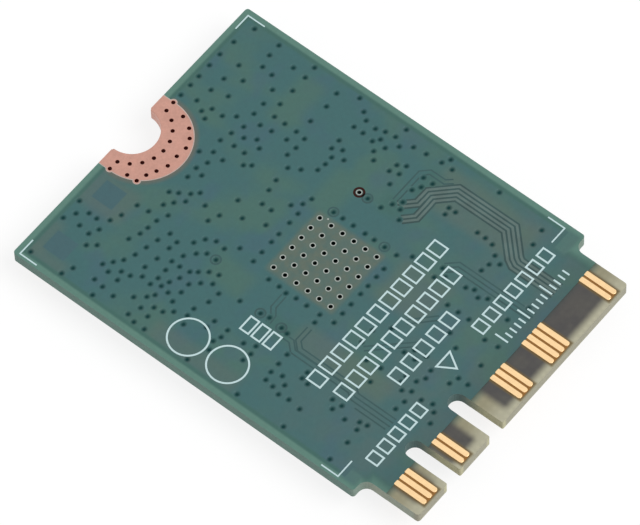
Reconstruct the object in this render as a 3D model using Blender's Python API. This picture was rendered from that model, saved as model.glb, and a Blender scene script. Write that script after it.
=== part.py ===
"""Wireless card for a laptop: a routed board with an edge connector and a half-moon screw seat.

The card lies on the lid of its shield, solder side up. X runs across the card, Y runs from the
connector's tip to the screw end, Z is up. The origin is under the middle of the card, on the lid.
"""

import math

import bmesh
import bpy
from mathutils import Matrix

MM = 0.001

# Board and copper
BOARD_WIDTH = 22.0 * MM
BOARD_LENGTH = 30.0 * MM
BOARD_THICKNESS = 0.8 * MM
BOARD_CORNER_RADIUS = 0.2 * MM
SHOULDER_WIDTH = 1.075 * MM
SHOULDER_FILLET = 0.6 * MM
COPPER_THICKNESS = 0.035 * MM

# Connector tongue, its contacts and its key notches
CONTACT_PITCH = 0.5 * MM
CONTACT_WIDTH = 0.35 * MM
CONTACT_TIP_INSET = 0.2 * MM
CONTACT_LENGTH = 2.25 * MM
CONTACT_TIP_RADIUS = 0.12 * MM
CONTACT_EDGE_MARGIN = 0.4 * MM
TONGUE_LENGTH = 4.0 * MM
KEY_WIDTH = 1.2 * MM
KEY_DEPTH = 3.5 * MM
KEY_MOUTH_RADIUS = 0.1 * MM
MIDDLE_PIN = 38
KEY_PINS = ((8, 15), (24, 31))
SOLDER_SIDE_PINS = ((2, 6), (16, 18), (38, 42), (50, 56), (72, 74))
COMPONENT_SIDE_PINS = ((1, 7), (33, 57), (63, 63), (69, 69), (75, 75))

# Half-moon screw seat, its land and the two rows of vias round it
SEAT_RADIUS = 1.75 * MM
SEAT_CENTRE_INSET = 0.1 * MM
SEAT_MOUTH_CHAMFER = 0.12 * MM
LAND_RADIUS = 3.03 * MM
LAND_CENTRE_INSET = 0.97 * MM
SEAT_VIA_DRILL = 0.26 * MM
SEAT_VIA_RIM = 0.56 * MM
INNER_VIA_COUNT = 9
INNER_VIA_STEP = math.radians(18.0)
INNER_VIA_OFFSET = 0.67 * MM
OUTER_VIA_ANGLES = (193.3, 214.2, 223.9, 234.2, 245.8, 258.9, 273.5, 286.4, 298.0, 309.8, 325.3, 346.8)
OUTER_VIA_OFFSETS = (1.28, 1.45, 1.86, 1.58, 1.54, 1.61, 1.55, 1.75, 1.76, 1.66, 1.41, 1.33)

# Thermal vias under the radio chip, and one bare test via
THERMAL_ROWS = 6
THERMAL_PITCH = 0.87 * MM
THERMAL_DRILL = 0.28 * MM
THERMAL_RIM = 0.46 * MM
TEST_VIA_PLACE = (5.02 * MM, 1.45 * MM)
TEST_VIA_DRILL = 0.26 * MM
TEST_VIA_RIM = 0.5 * MM

# Clearances
SOLDER_GAP = 0.03 * MM
SNAP_GAP = 0.05 * MM
CAN_HEADROOM = 0.22 * MM
PART_SPACING = 0.6 * MM
CUT_OVERLAP = 0.1 * MM

# Shield frame and lid
SHIELD_SIDE_MARGIN = 0.8 * MM
SHIELD_TONGUE_MARGIN = 0.6 * MM
SHIELD_LAND_MARGIN = 0.4 * MM
LID_SHEET = 0.15 * MM
LID_CORNER = 0.8 * MM
LID_BEND = 0.14 * MM
LID_BEND_STEPS = 3
LID_SKIRT_CLEARANCE = 0.35 * MM
LID_SLIT = 0.35 * MM
LONG_SIDE_TABS = 5
SHORT_SIDE_TABS = 4
DIMPLE_RADIUS = 0.22 * MM
DIMPLE_HEIGHT = 0.09 * MM
DIMPLE_HOLLOW_RADIUS = 0.15 * MM
FRAME_SHEET = 0.15 * MM
FRAME_RIM_WIDTH = 0.75 * MM
FRAME_RIM_CORNER = 0.4 * MM
FRAME_BAR_WIDTH = 1.1 * MM
FRAME_FOOT_WIDTH = 0.6 * MM
FRAME_FOOT_HEIGHT = 0.18 * MM
FRAME_LAND_WIDTH = 0.45 * MM

# Antenna sockets
SOCKET_SIZE = 2.0 * MM
SOCKET_EDGE_INSET = 2.25 * MM
SOCKET_END_INSET = 1.85 * MM
SOCKET_LAND_GAP = 0.27 * MM
SOCKET_BASE_THICKNESS = 0.16 * MM
SOCKET_BASE_CHAMFER = 0.3 * MM
SHELL_RADIUS = 0.75 * MM
SHELL_BORE = 0.6 * MM
SHELL_HEIGHT = 0.4 * MM
SHELL_GROOVE = 0.05 * MM
SHELL_GROOVE_LOW = 0.12 * MM
SHELL_GROOVE_HIGH = 0.24 * MM
SHELL_STRAP = 0.1 * MM
SHELL_FOOT_WIDTH = 0.6 * MM
SHELL_FOOT_LENGTH = 0.5 * MM
PIN_RADIUS = 0.14 * MM
PIN_HEIGHT = 0.34 * MM
PIN_FLANGE_RADIUS = 0.24 * MM

# Radio chip
CHIP_HEIGHT = 0.85 * MM
CHIP_TERMINAL_ZONE = 0.9 * MM
CHIP_STANDOFF = 0.02 * MM
CHIP_CHAMFER = 0.06 * MM
TERMINAL_COUNT = 16
TERMINAL_WIDTH = 0.2 * MM
TERMINAL_LENGTH = 0.4 * MM
TERMINAL_THICKNESS = 0.15 * MM
HEAT_PAD_MARGIN = 0.42 * MM
HEAT_PAD_THICKNESS = 0.2 * MM
PIN_ONE_DOT = 0.3 * MM
PIN_ONE_DEPTH = 0.05 * MM

# Smaller parts on the component side: length, width and height of each kind
FRONT_END_SIZE = (2.5 * MM, 2.0 * MM, 0.55 * MM)
FILTER_SIZE = (1.6 * MM, 0.8 * MM, 0.6 * MM)
INDUCTOR_SIZE = (2.0 * MM, 1.6 * MM, 0.9 * MM)
POWER_CHIP_SIZE = (2.0 * MM, 2.0 * MM, 0.6 * MM)
MEMORY_SIZE = (3.0 * MM, 2.0 * MM, 0.55 * MM)
CRYSTAL_SIZE = (2.0 * MM, 1.6 * MM, 0.45 * MM)
CRYSTAL_LID_SHEET = 0.1 * MM
CRYSTAL_LID_INSET = 0.12 * MM
CAPACITOR_SIZE = (1.0 * MM, 0.5 * MM, 0.5 * MM)
CAPACITOR_SPACING = 0.4 * MM
CAPACITORS_PER_COLUMN = 6
END_CAP_SHARE = 0.25
END_CAP_STEP = 0.03 * MM

# Facets
ARC_STEP = math.radians(15.0)
DRILL_SIDES = 8
RIM_SIDES = 12
TURNED_SIDES = 24
CORNER_STEPS = 4

# Places that follow from the sizes above
TIP_Y = -BOARD_LENGTH / 2
END_Y = BOARD_LENGTH / 2
SHOULDER_Y = TIP_Y + TONGUE_LENGTH
BOARD_HALF = BOARD_WIDTH / 2
TONGUE_HALF = BOARD_HALF - SHOULDER_WIDTH
SEAT_Y = END_Y - SEAT_CENTRE_INSET
LAND_Y = END_Y - LAND_CENTRE_INSET
HEAT_PAD_SIDE = (THERMAL_ROWS - 1) * THERMAL_PITCH + 2 * HEAT_PAD_MARGIN
CHIP_SIDE = HEAT_PAD_SIDE + 2 * CHIP_TERMINAL_ZONE
TALLEST_PART = max(
    CHIP_HEIGHT,
    FRONT_END_SIZE[2],
    FILTER_SIZE[2],
    INDUCTOR_SIZE[2],
    POWER_CHIP_SIZE[2],
    MEMORY_SIZE[2],
    CRYSTAL_SIZE[2],
    CAPACITOR_SIZE[2],
)
CAN_HEIGHT = SOLDER_GAP + TALLEST_PART + CAN_HEADROOM + FRAME_SHEET + SNAP_GAP + LID_SHEET
FRAME_BASE = COPPER_THICKNESS + SOLDER_GAP
FRAME_TOP = CAN_HEIGHT - LID_SHEET - SNAP_GAP
LID_LOW_Y = SHOULDER_Y + SHIELD_TONGUE_MARGIN
LID_HIGH_Y = LAND_Y - LAND_RADIUS - SHIELD_LAND_MARGIN
LID_HALF = BOARD_HALF - SHIELD_SIDE_MARGIN
LID_MIDDLE_Y = (LID_LOW_Y + LID_HIGH_Y) / 2
LID_HALF_LENGTH = (LID_HIGH_Y - LID_LOW_Y) / 2


def clear_scene():
    """Remove every object that the file opened with."""
    for item in list(bpy.data.objects):
        bpy.data.objects.remove(item, do_unlink=True)


def material(name, colour, roughness, metallic=0.0):
    """A Principled material with the colour, roughness and metallic value of one finish."""
    made = bpy.data.materials.new(name)
    made.use_nodes = True
    shader = made.node_tree.nodes["Principled BSDF"]
    shader.inputs["Base Color"].default_value = (*colour, 1.0)
    shader.inputs["Roughness"].default_value = roughness
    shader.inputs["Metallic"].default_value = metallic
    made.diffuse_color = (*colour, 1.0)
    return made


def add_object(name, shape, finish, parent=None, place=(0.0, 0.0, 0.0), turn=0.0):
    """Turn a bmesh into a named object, set at its place under its parent."""
    bmesh.ops.recalc_face_normals(shape, faces=shape.faces)
    mesh = bpy.data.meshes.new(name)
    shape.to_mesh(mesh)
    shape.free()
    if finish is not None:
        mesh.materials.append(finish)
    item = bpy.data.objects.new(name, mesh)
    item.location = place
    item.rotation_euler = (0.0, 0.0, turn)
    item.parent = parent
    bpy.context.scene.collection.objects.link(item)
    return item


def combine(target, tool, operation):
    """Join, cut or trim the target by a helper shape that is itself left out of the model."""
    tool.hide_render = True
    tool.display_type = "WIRE"
    step = target.modifiers.new(tool.name, "BOOLEAN")
    step.operation = operation
    step.solver = "EXACT"
    step.object = tool


def rounded_outline(corners):
    """Points of a closed outline whose corners (x, y, radius) are rounded by arcs."""
    points = []
    count = len(corners)
    for index, (x, y, radius) in enumerate(corners):
        before = corners[index - 1]
        after = corners[(index + 1) % count]
        back = (before[0] - x, before[1] - y)
        ahead = (after[0] - x, after[1] - y)
        back_length = math.hypot(*back)
        ahead_length = math.hypot(*ahead)
        back = (back[0] / back_length, back[1] / back_length)
        ahead = (ahead[0] / ahead_length, ahead[1] / ahead_length)
        opening = math.acos(max(-1.0, min(1.0, back[0] * ahead[0] + back[1] * ahead[1])))
        reach = min(radius / math.tan(opening / 2), back_length / 2, ahead_length / 2)
        if reach <= 0.0:
            points.append((x, y))
            continue
        radius = reach * math.tan(opening / 2)
        middle = (back[0] + ahead[0], back[1] + ahead[1])
        middle_length = math.hypot(*middle)
        away = radius / math.sin(opening / 2)
        centre = (x + middle[0] / middle_length * away, y + middle[1] / middle_length * away)
        start = math.atan2(y + back[1] * reach - centre[1], x + back[0] * reach - centre[0])
        finish = math.atan2(y + ahead[1] * reach - centre[1], x + ahead[0] * reach - centre[0])
        sweep = (finish - start + math.pi) % (2 * math.pi) - math.pi
        steps = max(2, round(abs(sweep) / ARC_STEP))
        for step in range(steps + 1):
            angle = start + sweep * step / steps
            points.append((centre[0] + radius * math.cos(angle), centre[1] + radius * math.sin(angle)))
    return without_repeats(points)


def without_repeats(points):
    """Drop a point that falls on the one before it, as where two arcs meet."""
    kept = []
    for point in points:
        if not kept or math.dist(point, kept[-1]) > 0.001 * MM:
            kept.append(point)
    if math.dist(kept[0], kept[-1]) < 0.001 * MM:
        kept.pop()
    return kept


def arc(centre, radius, start, sweep, steps):
    """Points along a round arc."""
    return [
        (
            centre[0] + radius * math.cos(start + sweep * step / steps),
            centre[1] + radius * math.sin(start + sweep * step / steps),
        )
        for step in range(steps + 1)
    ]


def add_slab(shape, outline, low, high):
    """Extrude an outline from one height to another, into a bmesh."""
    face = shape.faces.new([shape.verts.new((x, y, low)) for x, y in outline])
    raised = bmesh.ops.extrude_face_region(shape, geom=[face])["geom"]
    moved = [item for item in raised if isinstance(item, bmesh.types.BMVert)]
    bmesh.ops.translate(shape, verts=moved, vec=(0.0, 0.0, high - low))


def add_box(shape, centre, size):
    """Add a box by its centre and its three sizes, into a bmesh."""
    matrix = Matrix.Translation(centre) @ Matrix.Diagonal((*size, 1.0))
    return bmesh.ops.create_cube(shape, size=1.0, matrix=matrix)["verts"]


def add_drum(shape, place, radius, low, high, sides, top_radius=None, axis_turn=None):
    """Add a round drum or cone along Z, into a bmesh; axis_turn lays it along another axis."""
    turned = axis_turn or Matrix.Identity(4)
    matrix = Matrix.Translation(place) @ turned @ Matrix.Translation((0.0, 0.0, (low + high) / 2))
    bmesh.ops.create_cone(
        shape,
        cap_ends=True,
        segments=sides,
        radius1=radius,
        radius2=radius if top_radius is None else top_radius,
        depth=high - low,
        matrix=matrix,
    )


def rounded_rectangle(half_x, low_y, high_y, radius):
    """Points of a rectangle with four rounded corners, the same number for any size."""
    points = []
    centres = (
        (half_x - radius, high_y - radius, 0.0),
        (-half_x + radius, high_y - radius, 0.5),
        (-half_x + radius, low_y + radius, 1.0),
        (half_x - radius, low_y + radius, 1.5),
    )
    for x, y, start in centres:
        points += arc((x, y), radius, start * math.pi, math.pi / 2, CORNER_STEPS)
    return points


def skin(shape, rings, closed):
    """Join rings of vertices by quads; closed joins the last ring to the first, else both are capped."""
    pairs = list(zip(rings, rings[1:]))
    if closed:
        pairs.append((rings[-1], rings[0]))
    for lower, upper in pairs:
        count = len(lower)
        for index in range(count):
            following = (index + 1) % count
            corners = (lower[index], lower[following], upper[following], upper[index])
            shape.faces.new(corners)
    if not closed:
        shape.faces.new(rings[0])
        shape.faces.new(rings[-1])


def add_loops(shape, levels, closed):
    """Skin a stack of outlines, each with its height, into a bmesh."""
    rings = [[shape.verts.new((x, y, height)) for x, y in outline] for outline, height in levels]
    skin(shape, rings, closed)


def pin_x(pin):
    """Where a contact number lies across the tongue; odd and even numbers share one scale."""
    return (pin - MIDDLE_PIN) * CONTACT_PITCH / 2


def board_outline():
    """The routed outline: tongue, key notches, shoulders and the half-moon."""
    corners = [
        (-TONGUE_HALF, TIP_Y, BOARD_CORNER_RADIUS),
        (-TONGUE_HALF, SHOULDER_Y, SHOULDER_FILLET),
        (-BOARD_HALF, SHOULDER_Y, BOARD_CORNER_RADIUS),
        (-BOARD_HALF, END_Y, BOARD_CORNER_RADIUS),
        (-SEAT_RADIUS - SEAT_MOUTH_CHAMFER, END_Y, 0.0),
    ]
    steps = round(math.pi / ARC_STEP)
    corners += [(x, y, 0.0) for x, y in arc((0.0, SEAT_Y), SEAT_RADIUS, math.pi, math.pi, steps)]
    corners += [
        (SEAT_RADIUS + SEAT_MOUTH_CHAMFER, END_Y, 0.0),
        (BOARD_HALF, END_Y, BOARD_CORNER_RADIUS),
        (BOARD_HALF, SHOULDER_Y, BOARD_CORNER_RADIUS),
        (TONGUE_HALF, SHOULDER_Y, SHOULDER_FILLET),
        (TONGUE_HALF, TIP_Y, BOARD_CORNER_RADIUS),
    ]
    for first, last in reversed(KEY_PINS):
        middle = (pin_x(first) + pin_x(last)) / 2
        left = middle - KEY_WIDTH / 2
        right = middle + KEY_WIDTH / 2
        bottom = TIP_Y + KEY_DEPTH
        corners += [
            (right, TIP_Y, KEY_MOUTH_RADIUS),
            (right, bottom, KEY_WIDTH / 2),
            (left, bottom, KEY_WIDTH / 2),
            (left, TIP_Y, KEY_MOUTH_RADIUS),
        ]
    return rounded_outline(corners)


def add_contacts(shape, runs, low, high):
    """One land for each contact of the runs (first pin, last pin) that the tongue has room for."""
    near = TIP_Y + CONTACT_TIP_INSET
    far = near + CONTACT_LENGTH
    room = TONGUE_HALF - CONTACT_EDGE_MARGIN
    for first, last in runs:
        for pin in range(first, last + 1, 2):
            left = pin_x(pin) - CONTACT_WIDTH / 2
            right = pin_x(pin) + CONTACT_WIDTH / 2
            if left < -room or right > room:
                continue
            outline = rounded_outline(
                [
                    (left, near, CONTACT_TIP_RADIUS),
                    (right, near, CONTACT_TIP_RADIUS),
                    (right, far, 0.0),
                    (left, far, 0.0),
                ]
            )
            add_slab(shape, outline, low, high)


def seat_land_outline():
    """The bare land round the half-moon, past the board's end, where the routing trims it."""
    past = END_Y + CUT_OVERLAP
    steps = round(math.pi / ARC_STEP)
    points = [(-LAND_RADIUS, past)]
    points += arc((0.0, LAND_Y), LAND_RADIUS, math.pi, math.pi, steps)
    points.append((LAND_RADIUS, past))
    return points


def seat_vias():
    """Centres of the inner and the outer row of vias round the half-moon."""
    places = []
    radius = SEAT_RADIUS + INNER_VIA_OFFSET
    for index in range(INNER_VIA_COUNT):
        angle = -math.pi / 2 + (index - (INNER_VIA_COUNT - 1) / 2) * INNER_VIA_STEP
        places.append((radius * math.cos(angle), SEAT_Y + radius * math.sin(angle)))
    for degrees, offset in zip(OUTER_VIA_ANGLES, OUTER_VIA_OFFSETS):
        angle = math.radians(degrees)
        radius = SEAT_RADIUS + offset * MM
        places.append((radius * math.cos(angle), SEAT_Y + radius * math.sin(angle)))
    return places


def thermal_vias():
    """Centres of the square grid of vias under the radio chip."""
    start = -(THERMAL_ROWS - 1) / 2 * THERMAL_PITCH
    steps = [start + index * THERMAL_PITCH for index in range(THERMAL_ROWS)]
    return [(x, y) for x in steps for y in steps]


def tab_places(half_length, count):
    """Middles of the lid's tabs, and of the slits between them, along one side."""
    straight = 2 * (half_length - LID_CORNER)
    step = straight / count
    middles = [-straight / 2 + (index + 0.5) * step for index in range(count)]
    slits = [-straight / 2 + index * step for index in range(1, count)]
    return middles, slits


def make_board(finish):
    """The panel with its lands, trimmed to the routed outline and drilled."""
    low = CAN_HEIGHT
    high = CAN_HEIGHT + BOARD_THICKNESS
    root_low = low + CUT_OVERLAP
    root_high = high - CUT_OVERLAP
    solder_top = high + COPPER_THICKNESS
    component_top = low - COPPER_THICKNESS
    past = 2 * CUT_OVERLAP

    panel = bmesh.new()
    panel_size = (2 * (BOARD_HALF + past), BOARD_LENGTH + 2 * past, BOARD_THICKNESS)
    add_box(panel, (0.0, 0.0, (low + high) / 2), panel_size)
    board = add_object("printed_board", panel, finish)

    lands = bmesh.new()
    add_contacts(lands, SOLDER_SIDE_PINS, root_high, solder_top)
    add_contacts(lands, COMPONENT_SIDE_PINS, component_top, root_low)
    add_slab(lands, seat_land_outline(), root_high, solder_top)
    add_slab(lands, seat_land_outline(), component_top, root_low)
    for x, y in thermal_vias():
        add_drum(lands, (x, y, 0.0), THERMAL_RIM / 2, root_high, solder_top, RIM_SIDES)
    add_drum(lands, (*TEST_VIA_PLACE, 0.0), TEST_VIA_RIM / 2, root_high, solder_top, RIM_SIDES)
    outer = frame_outline(0.0)
    wide = frame_outline(FRAME_LAND_WIDTH)
    levels = [(outer, root_low), (outer, component_top), (wide, component_top), (wide, root_low)]
    add_loops(lands, levels, closed=True)
    combine(board, add_object("copper_lands", lands, None), "UNION")

    rims = bmesh.new()
    for x, y in seat_vias():
        add_drum(rims, (x, y, 0.0), SEAT_VIA_RIM / 2, root_high, solder_top, RIM_SIDES)
    combine(board, add_object("seat_via_rims", rims, None), "UNION")

    routing = bmesh.new()
    add_slab(routing, board_outline(), component_top - past, solder_top + past)
    combine(board, add_object("routed_profile", routing, None), "INTERSECT")

    drills = bmesh.new()
    through = (component_top - past, solder_top + past)
    for x, y in thermal_vias():
        add_drum(drills, (x, y, 0.0), THERMAL_DRILL / 2, *through, DRILL_SIDES)
    for x, y in seat_vias():
        add_drum(drills, (x, y, 0.0), SEAT_VIA_DRILL / 2, *through, DRILL_SIDES)
    add_drum(drills, (*TEST_VIA_PLACE, 0.0), TEST_VIA_DRILL / 2, *through, DRILL_SIDES)
    combine(board, add_object("via_drills", drills, None), "DIFFERENCE")


def lid_outline(inset):
    """The lid's rounded rectangle, drawn in by an inset from its outer face."""
    low = LID_LOW_Y + inset
    high = LID_HIGH_Y - inset
    return rounded_rectangle(LID_HALF - inset, low, high, LID_CORNER - inset)


def frame_outline(inset):
    """The frame's rounded rectangle, drawn in by an inset from its outer face."""
    outer = LID_SHEET + SNAP_GAP
    low = LID_LOW_Y + outer + inset
    high = LID_HIGH_Y - outer - inset
    radius = max(LID_CORNER - outer - inset, LID_CORNER / 4)
    return rounded_rectangle(LID_HALF - outer - inset, low, high, radius)


def side_places():
    """Round the four sides: each dimple as (x, y, its inward turn) and each slit as (x, y, along X)."""
    dimples = []
    slits = []
    for side in (-1, 1):
        middles, gaps = tab_places(LID_HALF_LENGTH, LONG_SIDE_TABS)
        inward = Matrix.Rotation(-side * math.pi / 2, 4, "Y")
        dimples += [(side * LID_HALF, LID_MIDDLE_Y + y, inward) for y in middles]
        slits += [(side * LID_HALF, LID_MIDDLE_Y + y, False) for y in gaps]
        middles, gaps = tab_places(LID_HALF, SHORT_SIDE_TABS)
        inward = Matrix.Rotation(side * math.pi / 2, 4, "X")
        end_y = LID_MIDDLE_Y + side * LID_HALF_LENGTH
        dimples += [(x, end_y, inward) for x in middles]
        slits += [(x, end_y, True) for x in gaps]
    return dimples, slits


def dimple_height():
    """How far above the board the dimples and their holes sit: the middle of the skirt."""
    return (LID_SKIRT_CLEARANCE + FRAME_TOP - FRAME_SHEET) / 2


def make_lid(finish, parent):
    """The folded lid: a plate with a round bend, skirts slit into tabs, open corners and dimples."""
    shape = bmesh.new()
    levels = []
    for step in range(LID_BEND_STEPS + 1):
        angle = math.pi / 2 * step / LID_BEND_STEPS
        inset = LID_BEND * (1.0 - math.sin(angle))
        levels.append((lid_outline(inset), CAN_HEIGHT - LID_BEND * (1.0 - math.cos(angle))))
    levels += [
        (lid_outline(0.0), LID_SKIRT_CLEARANCE),
        (lid_outline(LID_SHEET), LID_SKIRT_CLEARANCE),
        (lid_outline(LID_SHEET), CAN_HEIGHT - LID_SHEET),
    ]
    add_loops(shape, levels, closed=False)
    lid = add_object("shield_lid", shape, finish, parent)

    dimples, slits = side_places()
    slit_top = CAN_HEIGHT - LID_SHEET - LID_BEND
    slit_low = LID_SKIRT_CLEARANCE - CUT_OVERLAP
    slit_middle = (slit_top + slit_low) / 2
    slit_height = slit_top - slit_low
    through = 4 * LID_SHEET
    cuts = bmesh.new()
    for x, y, along_x in slits:
        size = (LID_SLIT, through, slit_height) if along_x else (through, LID_SLIT, slit_height)
        add_box(cuts, (x, y, slit_middle), size)
    corner = 2 * (LID_CORNER - LID_SHEET)
    for side_x in (-1, 1):
        for side_y in (-1, 1):
            place = (side_x * LID_HALF, LID_MIDDLE_Y + side_y * LID_HALF_LENGTH, slit_middle)
            add_box(cuts, place, (corner, corner, slit_height))
    combine(lid, add_object("lid_slits", cuts, None, parent), "DIFFERENCE")

    bumps = bmesh.new()
    hollows = bmesh.new()
    depth = LID_SHEET + DIMPLE_HEIGHT
    for x, y, inward in dimples:
        add_drum(
            bumps,
            (x, y, dimple_height()),
            DIMPLE_RADIUS,
            LID_SHEET / 2,
            depth,
            DRILL_SIDES,
            top_radius=DIMPLE_RADIUS / 2,
            axis_turn=inward,
        )
        add_drum(
            hollows,
            (x, y, dimple_height()),
            2 * DIMPLE_HOLLOW_RADIUS,
            -DIMPLE_HEIGHT,
            DIMPLE_HEIGHT,
            DRILL_SIDES,
            top_radius=DIMPLE_HOLLOW_RADIUS / 2,
            axis_turn=inward,
        )
    combine(lid, add_object("lid_dimples", bumps, None, parent), "UNION")
    combine(lid, add_object("lid_dimple_hollows", hollows, None, parent), "DIFFERENCE")


def make_frame(finish, parent):
    """The soldered frame: a drawn can with two punched windows, feet and dimple holes."""
    shape = bmesh.new()
    levels = [
        (frame_outline(0.0), FRAME_TOP),
        (frame_outline(0.0), FRAME_BASE),
        (frame_outline(FRAME_SHEET), FRAME_BASE),
        (frame_outline(FRAME_SHEET), FRAME_TOP - FRAME_SHEET),
    ]
    add_loops(shape, levels, closed=False)
    frame = add_object("shield_frame", shape, finish, parent)

    rim = LID_SHEET + SNAP_GAP + FRAME_RIM_WIDTH
    spans = (
        (LID_LOW_Y + rim, LID_MIDDLE_Y - FRAME_BAR_WIDTH / 2),
        (LID_MIDDLE_Y + FRAME_BAR_WIDTH / 2, LID_HIGH_Y - rim),
    )
    windows = bmesh.new()
    for low_y, high_y in spans:
        outline = rounded_rectangle(LID_HALF - rim, low_y, high_y, FRAME_RIM_CORNER)
        add_slab(windows, outline, FRAME_TOP - FRAME_SHEET - CUT_OVERLAP, FRAME_TOP + CUT_OVERLAP)
    combine(frame, add_object("frame_windows", windows, None, parent), "DIFFERENCE")

    dimples, slits = side_places()
    cuts = bmesh.new()
    depth = LID_SHEET + SNAP_GAP + FRAME_SHEET + SNAP_GAP
    hole = DIMPLE_RADIUS + SNAP_GAP
    for x, y, inward in dimples:
        add_drum(cuts, (x, y, dimple_height()), hole, 0.0, depth, DRILL_SIDES, axis_turn=inward)
    arch = 2 * FRAME_FOOT_HEIGHT
    for x, y, along_x in slits:
        size = (FRAME_FOOT_WIDTH, 2 * depth, arch) if along_x else (2 * depth, FRAME_FOOT_WIDTH, arch)
        add_box(cuts, (x, y, FRAME_BASE), size)
    combine(frame, add_object("frame_holes", cuts, None, parent), "DIFFERENCE")


def make_socket(name, x, y, finishes, parent):
    """One antenna socket: moulded base, turned ground shell with two feet, and the centre pin."""
    seat = (x, y, SOLDER_GAP)
    half = SOCKET_SIZE / 2
    base_shape = bmesh.new()
    chamfer = SOCKET_BASE_CHAMFER
    inner = half - SHELL_FOOT_LENGTH / 2
    outline = [
        (inner, half - chamfer),
        (inner - chamfer, half),
        (-inner + chamfer, half),
        (-inner, half - chamfer),
        (-inner, -half + chamfer),
        (-inner + chamfer, -half),
        (inner - chamfer, -half),
        (inner, -half + chamfer),
    ]
    add_slab(base_shape, outline, 0.0, SOCKET_BASE_THICKNESS)
    base = add_object(name + "_base", base_shape, finishes["moulding"], parent, seat)
    bore = bmesh.new()
    hole = PIN_RADIUS + SOLDER_GAP
    add_drum(bore, (0.0, 0.0, 0.0), hole, -half, half, RIM_SIDES)
    combine(base, add_object(name + "_bore", bore, None, parent, seat), "DIFFERENCE")

    shell_low = SOCKET_BASE_THICKNESS + SOLDER_GAP
    shell_top = shell_low + SHELL_HEIGHT
    groove_low = shell_low + SHELL_GROOVE_LOW
    groove_high = shell_low + SHELL_GROOVE_HIGH
    profile = [
        (SHELL_BORE, shell_low),
        (SHELL_RADIUS, shell_low),
        (SHELL_RADIUS, groove_low),
        (SHELL_RADIUS - SHELL_GROOVE, (groove_low + groove_high) / 2),
        (SHELL_RADIUS, groove_high),
        (SHELL_RADIUS, shell_top - SHELL_GROOVE),
        (SHELL_RADIUS - SHELL_GROOVE, shell_top),
        (SHELL_BORE + SHELL_GROOVE, shell_top),
        (SHELL_BORE, shell_top - SHELL_GROOVE),
    ]
    shell = add_object(name + "_shell", turned(profile), finishes["gold"], parent, seat)
    for face in shell.data.polygons:
        face.use_smooth = True
    shell.data.set_sharp_from_angle(angle=math.radians(30.0))
    foot_in = (SHELL_RADIUS + SHELL_BORE) / 2
    foot_out = half + SHELL_FOOT_LENGTH / 2
    leg_in = half - SHELL_FOOT_LENGTH / 2 + SOLDER_GAP
    strap_low = shell_low + SOLDER_GAP
    strap_top = strap_low + SHELL_STRAP
    foot_outline = [
        (foot_in, strap_low),
        (leg_in, strap_low),
        (leg_in, 0.0),
        (foot_out, 0.0),
        (foot_out, strap_top),
        (foot_in, strap_top),
    ]
    feet = bmesh.new()
    add_slab(feet, foot_outline, -SHELL_FOOT_WIDTH / 2, SHELL_FOOT_WIDTH / 2)
    add_slab(feet, [(-x, z) for x, z in foot_outline], -SHELL_FOOT_WIDTH / 2, SHELL_FOOT_WIDTH / 2)
    upright = Matrix.Rotation(math.pi / 2, 4, "X")
    bmesh.ops.transform(feet, matrix=upright, verts=feet.verts)
    combine(shell, add_object(name + "_feet", feet, None, parent, seat), "UNION")

    flange_low = SOCKET_BASE_THICKNESS + SOLDER_GAP
    flange_top = flange_low + SHELL_GROOVE
    pin_top = flange_low + PIN_HEIGHT
    pin_profile = [
        (0.0, 0.0),
        (PIN_RADIUS, 0.0),
        (PIN_RADIUS, flange_low),
        (PIN_FLANGE_RADIUS, flange_low),
        (PIN_FLANGE_RADIUS, flange_top),
        (PIN_RADIUS, flange_top),
        (PIN_RADIUS, pin_top - SHELL_GROOVE),
        (PIN_RADIUS - SHELL_GROOVE, pin_top),
        (0.0, pin_top),
    ]
    add_object(name + "_pin", turned(pin_profile), finishes["gold"], parent, seat)


def turned(profile):
    """Spin a profile of (radius, height) once round Z; a point at no radius lies on the axis."""
    shape = bmesh.new()
    verts = [shape.verts.new((radius, 0.0, height)) for radius, height in profile]
    closed = profile[0][0] > 0.0
    edges = [shape.edges.new(pair) for pair in zip(verts, verts[1:])]
    if closed:
        edges.append(shape.edges.new((verts[-1], verts[0])))
    bmesh.ops.spin(
        shape,
        geom=verts + edges,
        cent=(0.0, 0.0, 0.0),
        axis=(0.0, 0.0, 1.0),
        angle=2 * math.pi,
        steps=TURNED_SIDES,
        use_merge=True,
    )
    bmesh.ops.remove_doubles(shape, verts=shape.verts, dist=0.0001 * MM)
    return shape


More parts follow.
